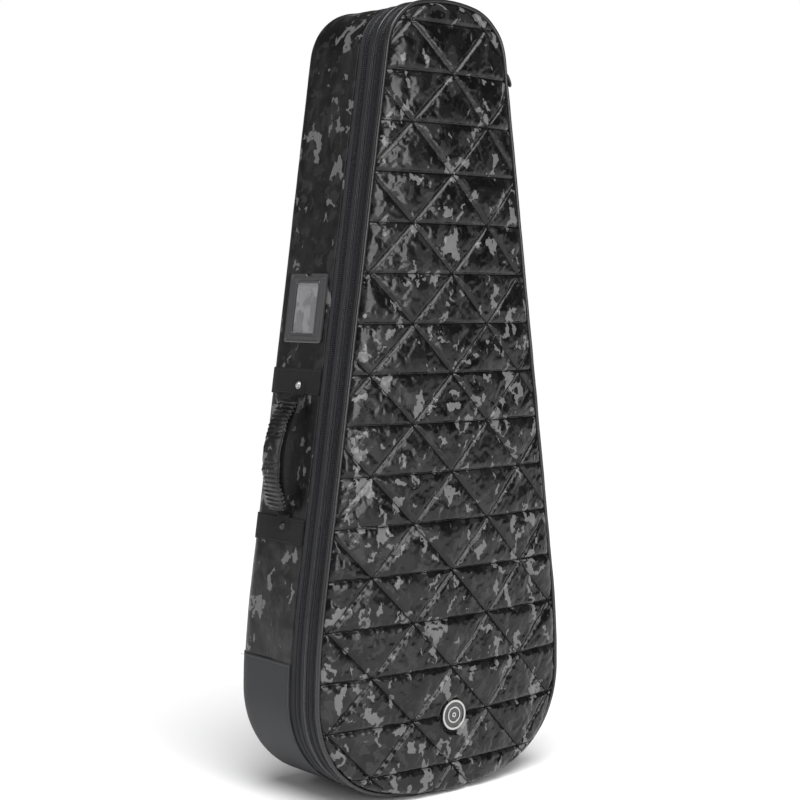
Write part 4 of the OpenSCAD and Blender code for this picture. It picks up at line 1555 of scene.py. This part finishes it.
def pull(kind, level, y, lean):
    """A thin wire loop through the slider's bail, and a moulded grip on its end."""
    drop = 0 if level == "upper" else 52 * MM
    base = side_frame(SIDE_TOP_Z, 1) @ Matrix.Translation((5.6 * MM, y, -drop))
    m = base @ Matrix.Rotation(-math.radians(lean), 4, "Y")
    half, length = 2.9 * MM, 23 * MM
    bend = [(0, half * math.sin(a), half * (math.cos(a) - 0.4)) for a in np.linspace(-1.57, 1.57, 10)]
    right = [(0, half - 0.9 * MM * t, -length * t) for t in np.linspace(0.1, 1, 8)]
    left = [(0, -q[1], q[2]) for q in right[::-1]]
    body = f"{kind}_pull_{level}"
    wire_loop(f"{kind}_wire_{level}", [m @ Vector(q) for q in bend + right + left], 0.75 * MM, body, body)
    rings, k = 26, 24
    verts = []
    for i in range(rings):
        t = i / (rings - 1)
        z = -19 * MM - 22.5 * MM * t
        swell = math.sqrt(max(0.0, 1 - (2 * t - 1) ** 4)) * (0.86 + 0.14 * math.sin(math.pi * t))
        ridge = 1 + 0.05 * math.sin(t * 34) * (0.2 < t < 0.85)
        for a in [2 * math.pi * j / k for j in range(k)]:
            verts.append(m @ Vector((2.4 * MM * swell * ridge * signed_power(math.cos(a), 0.8),
                                     4.3 * MM * max(swell, 0.12) * signed_power(math.sin(a), 0.8), z)))
    grip = mesh_object(f"{kind}_moulded_grip_{level}", verts, grid_faces(rings, k) + end_caps(rings, k))
    finish_piece(grip, body, MAT["rubber"], "moulding", f"{kind}_grip_{level}")


def hardware():
    """Sliders and pulls of both zips, and the badge."""
    for kind, y in (("main", Y_MAIN), ("pocket", Y_POCKET)):
        for level, lean in (("upper", 19), ("lower", 4)):
            name = f"{kind}_slider_{level}"
            rounded_copy(name, f"{name}_cast", name, "steel", "slider_metal", 0.7 * MM)
            pull(kind, level, y, lean)
    for node, look, slot in (("badge_rim", "bright", "bright_metal"),
                             ("badge_emblem", "bright", "bright_metal"),
                             ("badge_disc", "enamel", "badge_enamel")):
        rounded_copy(node, f"{node}_pressed", "pocket_cover", look, slot, 0.25 * MM)


def inside_pads():
    """Neck cradle with its strap, head pad and end block."""
    for node, name, cap in (("neck_cradle", "neck_cradle_pad", 4), ("head_pad", "head_block_pad", 3),
                            ("end_block", "end_block_pad", 3)):
        stuffed(node, name, "lining", "foam", voxel=6, cap=cap, shrink=2)
    low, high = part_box("neck_strap")
    middle = box_middle("neck_strap")
    points = [(x, middle.y - 2.0 * MM * math.cos(math.pi * x / (high.x - low.x)), middle.z)
              for x in np.linspace(low.x, high.x, 24)]
    ribbon("neck_strap_webbing", points, (0, 0, 1), 38 * MM, 1.8 * MM, "neck_strap")


def dress_frame():
    """A material for the one node of the frame that still shows."""
    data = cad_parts["label_card"].data
    data.materials.clear()
    data.materials.append(MAT["card"])


# =====================================================================
# Stage
# =====================================================================

def stage():
    """A pale floor, and a world that is white to the camera but lights the bag only a little."""
    size = 60.0
    floor = mesh_object("floor", [(-size, -size, 0), (size, -size, 0), (size, size, 0), (-size, size, 0)],
                        [(0, 1, 2, 3)])
    g = Graph("floor_paper", Roughness=0.6)
    floor.data.materials.append(g.done(g.mix(g.noise(g.place(), 3.0), grey(0.90), grey(0.92))))
    world = bpy.data.worlds.new("studio")
    bpy.context.scene.world = world
    world.use_nodes = True
    nodes, links = world.node_tree.nodes, world.node_tree.links
    nodes["Background"].inputs["Color"].default_value = (1.0, 1.0, 1.0, 1)
    seen = nodes.new("ShaderNodeLightPath")
    level = nodes.new("ShaderNodeMapRange")
    level.inputs["To Min"].default_value = 0.10
    level.inputs["To Max"].default_value = 1.0
    links.new(seen.outputs["Is Camera Ray"], level.inputs["Value"])
    links.new(level.outputs["Result"], nodes["Background"].inputs["Strength"])
    bpy.context.scene.view_settings.view_transform = "Standard"


def aimed_light(name, kind, away, power, **settings):
    """A light that shines from the direction away."""
    light = bpy.data.lights.new(name, kind)
    light.energy = power
    for key, value in settings.items():
        setattr(light, key, value)
    obj = link_object(name, light)
    obj.rotation_mode = "QUATERNION"
    obj.rotation_quaternion = (-away).to_track_quat("-Z", "Y")
    return obj


def softbox(name, direction, distance, size, power):
    away = Vector(direction).normalized()
    obj = aimed_light(name, "AREA", away, power, shape="RECTANGLE", size=size[0], size_y=size[1])
    obj.location = LIGHTS_AIM + away * distance


def sun(name, direction, power, spread):
    aimed_light(name, "SUN", Vector(direction), power, angle=math.radians(spread))


def camera():
    """The photograph's viewing angle: 40 degrees round to the left, a little above the middle."""
    data = bpy.data.cameras.new("camera")
    data.lens = LENS
    data.sensor_width = 36
    data.clip_end = 60
    obj = link_object("camera", data)
    level = math.cos(CAMERA_RISE)
    back = Vector((math.sin(CAMERA_TURN) * level, -math.cos(CAMERA_TURN) * level, math.sin(CAMERA_RISE)))
    right = Vector((0, 0, 1)).cross(back).normalized()
    up = back.cross(right)
    rolled_right = right * math.cos(CAMERA_ROLL) + up * math.sin(CAMERA_ROLL)
    rolled_up = -right * math.sin(CAMERA_ROLL) + up * math.cos(CAMERA_ROLL)
    obj.matrix_world = axes_matrix(rolled_right, rolled_up, back, CAMERA_AT)
    bpy.context.scene.camera = obj


stage()
camera()
sun("overhead", (-0.20, -0.40, 1.0), 4.1, 50)
softbox("key", (-0.02, -0.98, 0.24), 2.6, (1.2, 1.8), 46)
softbox("left_fill", (-0.86, 0.40, 0.30), 2.6, (0.9, 1.8), 16)

quilted_front()
quilt_thread()
gusset_cloth()
back_cloth()
boot_cloth()
boot_stitches()
piping("front_piping_cord", Y_EDGE - 0.6 * MM, "pocket_cover", "front_piping", 3.0 * MM, 2.2 * MM)
# painted shade: a near-black cord in the gap between the quilt and the front piping
quilt_gap_painted_shade_cord()
piping("middle_piping_cord", Y_MIDDLE, "lid", "middle_piping", 2.4 * MM, 1.6 * MM)
zip_side("pocket_zip_front", Y_POCKET, -1, Y_EDGE + 3.0 * MM, "pocket_cover", 5.5 * MM)
zip_side("pocket_zip_back", Y_POCKET, 1, Y_MIDDLE - 2.6 * MM, "lid", 5.5 * MM)
zip_side("main_zip_front", Y_MAIN, -1, Y_MIDDLE + 3.0 * MM, "lid", 4.5 * MM)
zip_side("main_zip_back", Y_MAIN, 1, Y_WALL - 1.2 * MM, "case", 5.5 * MM)
seam_stitches("pocket_seam_stitches", Y_MIDDLE - 4.6 * MM, "lid")
seam_stitches("main_seam_stitches", Y_WALL - 3.4 * MM, "case")
hinge_cloth("main_hinge_cloth", Y_MAIN, "main_hinge_strip")
hinge_cloth("pocket_hinge_cloth", Y_POCKET, "pocket_hinge_strip")
webbing_bands()
handle()
handle_tabs()
label_window()
rivets()
inner_walls()
linings()
inside_pads()
back_harness()
hardware()
dress_frame()
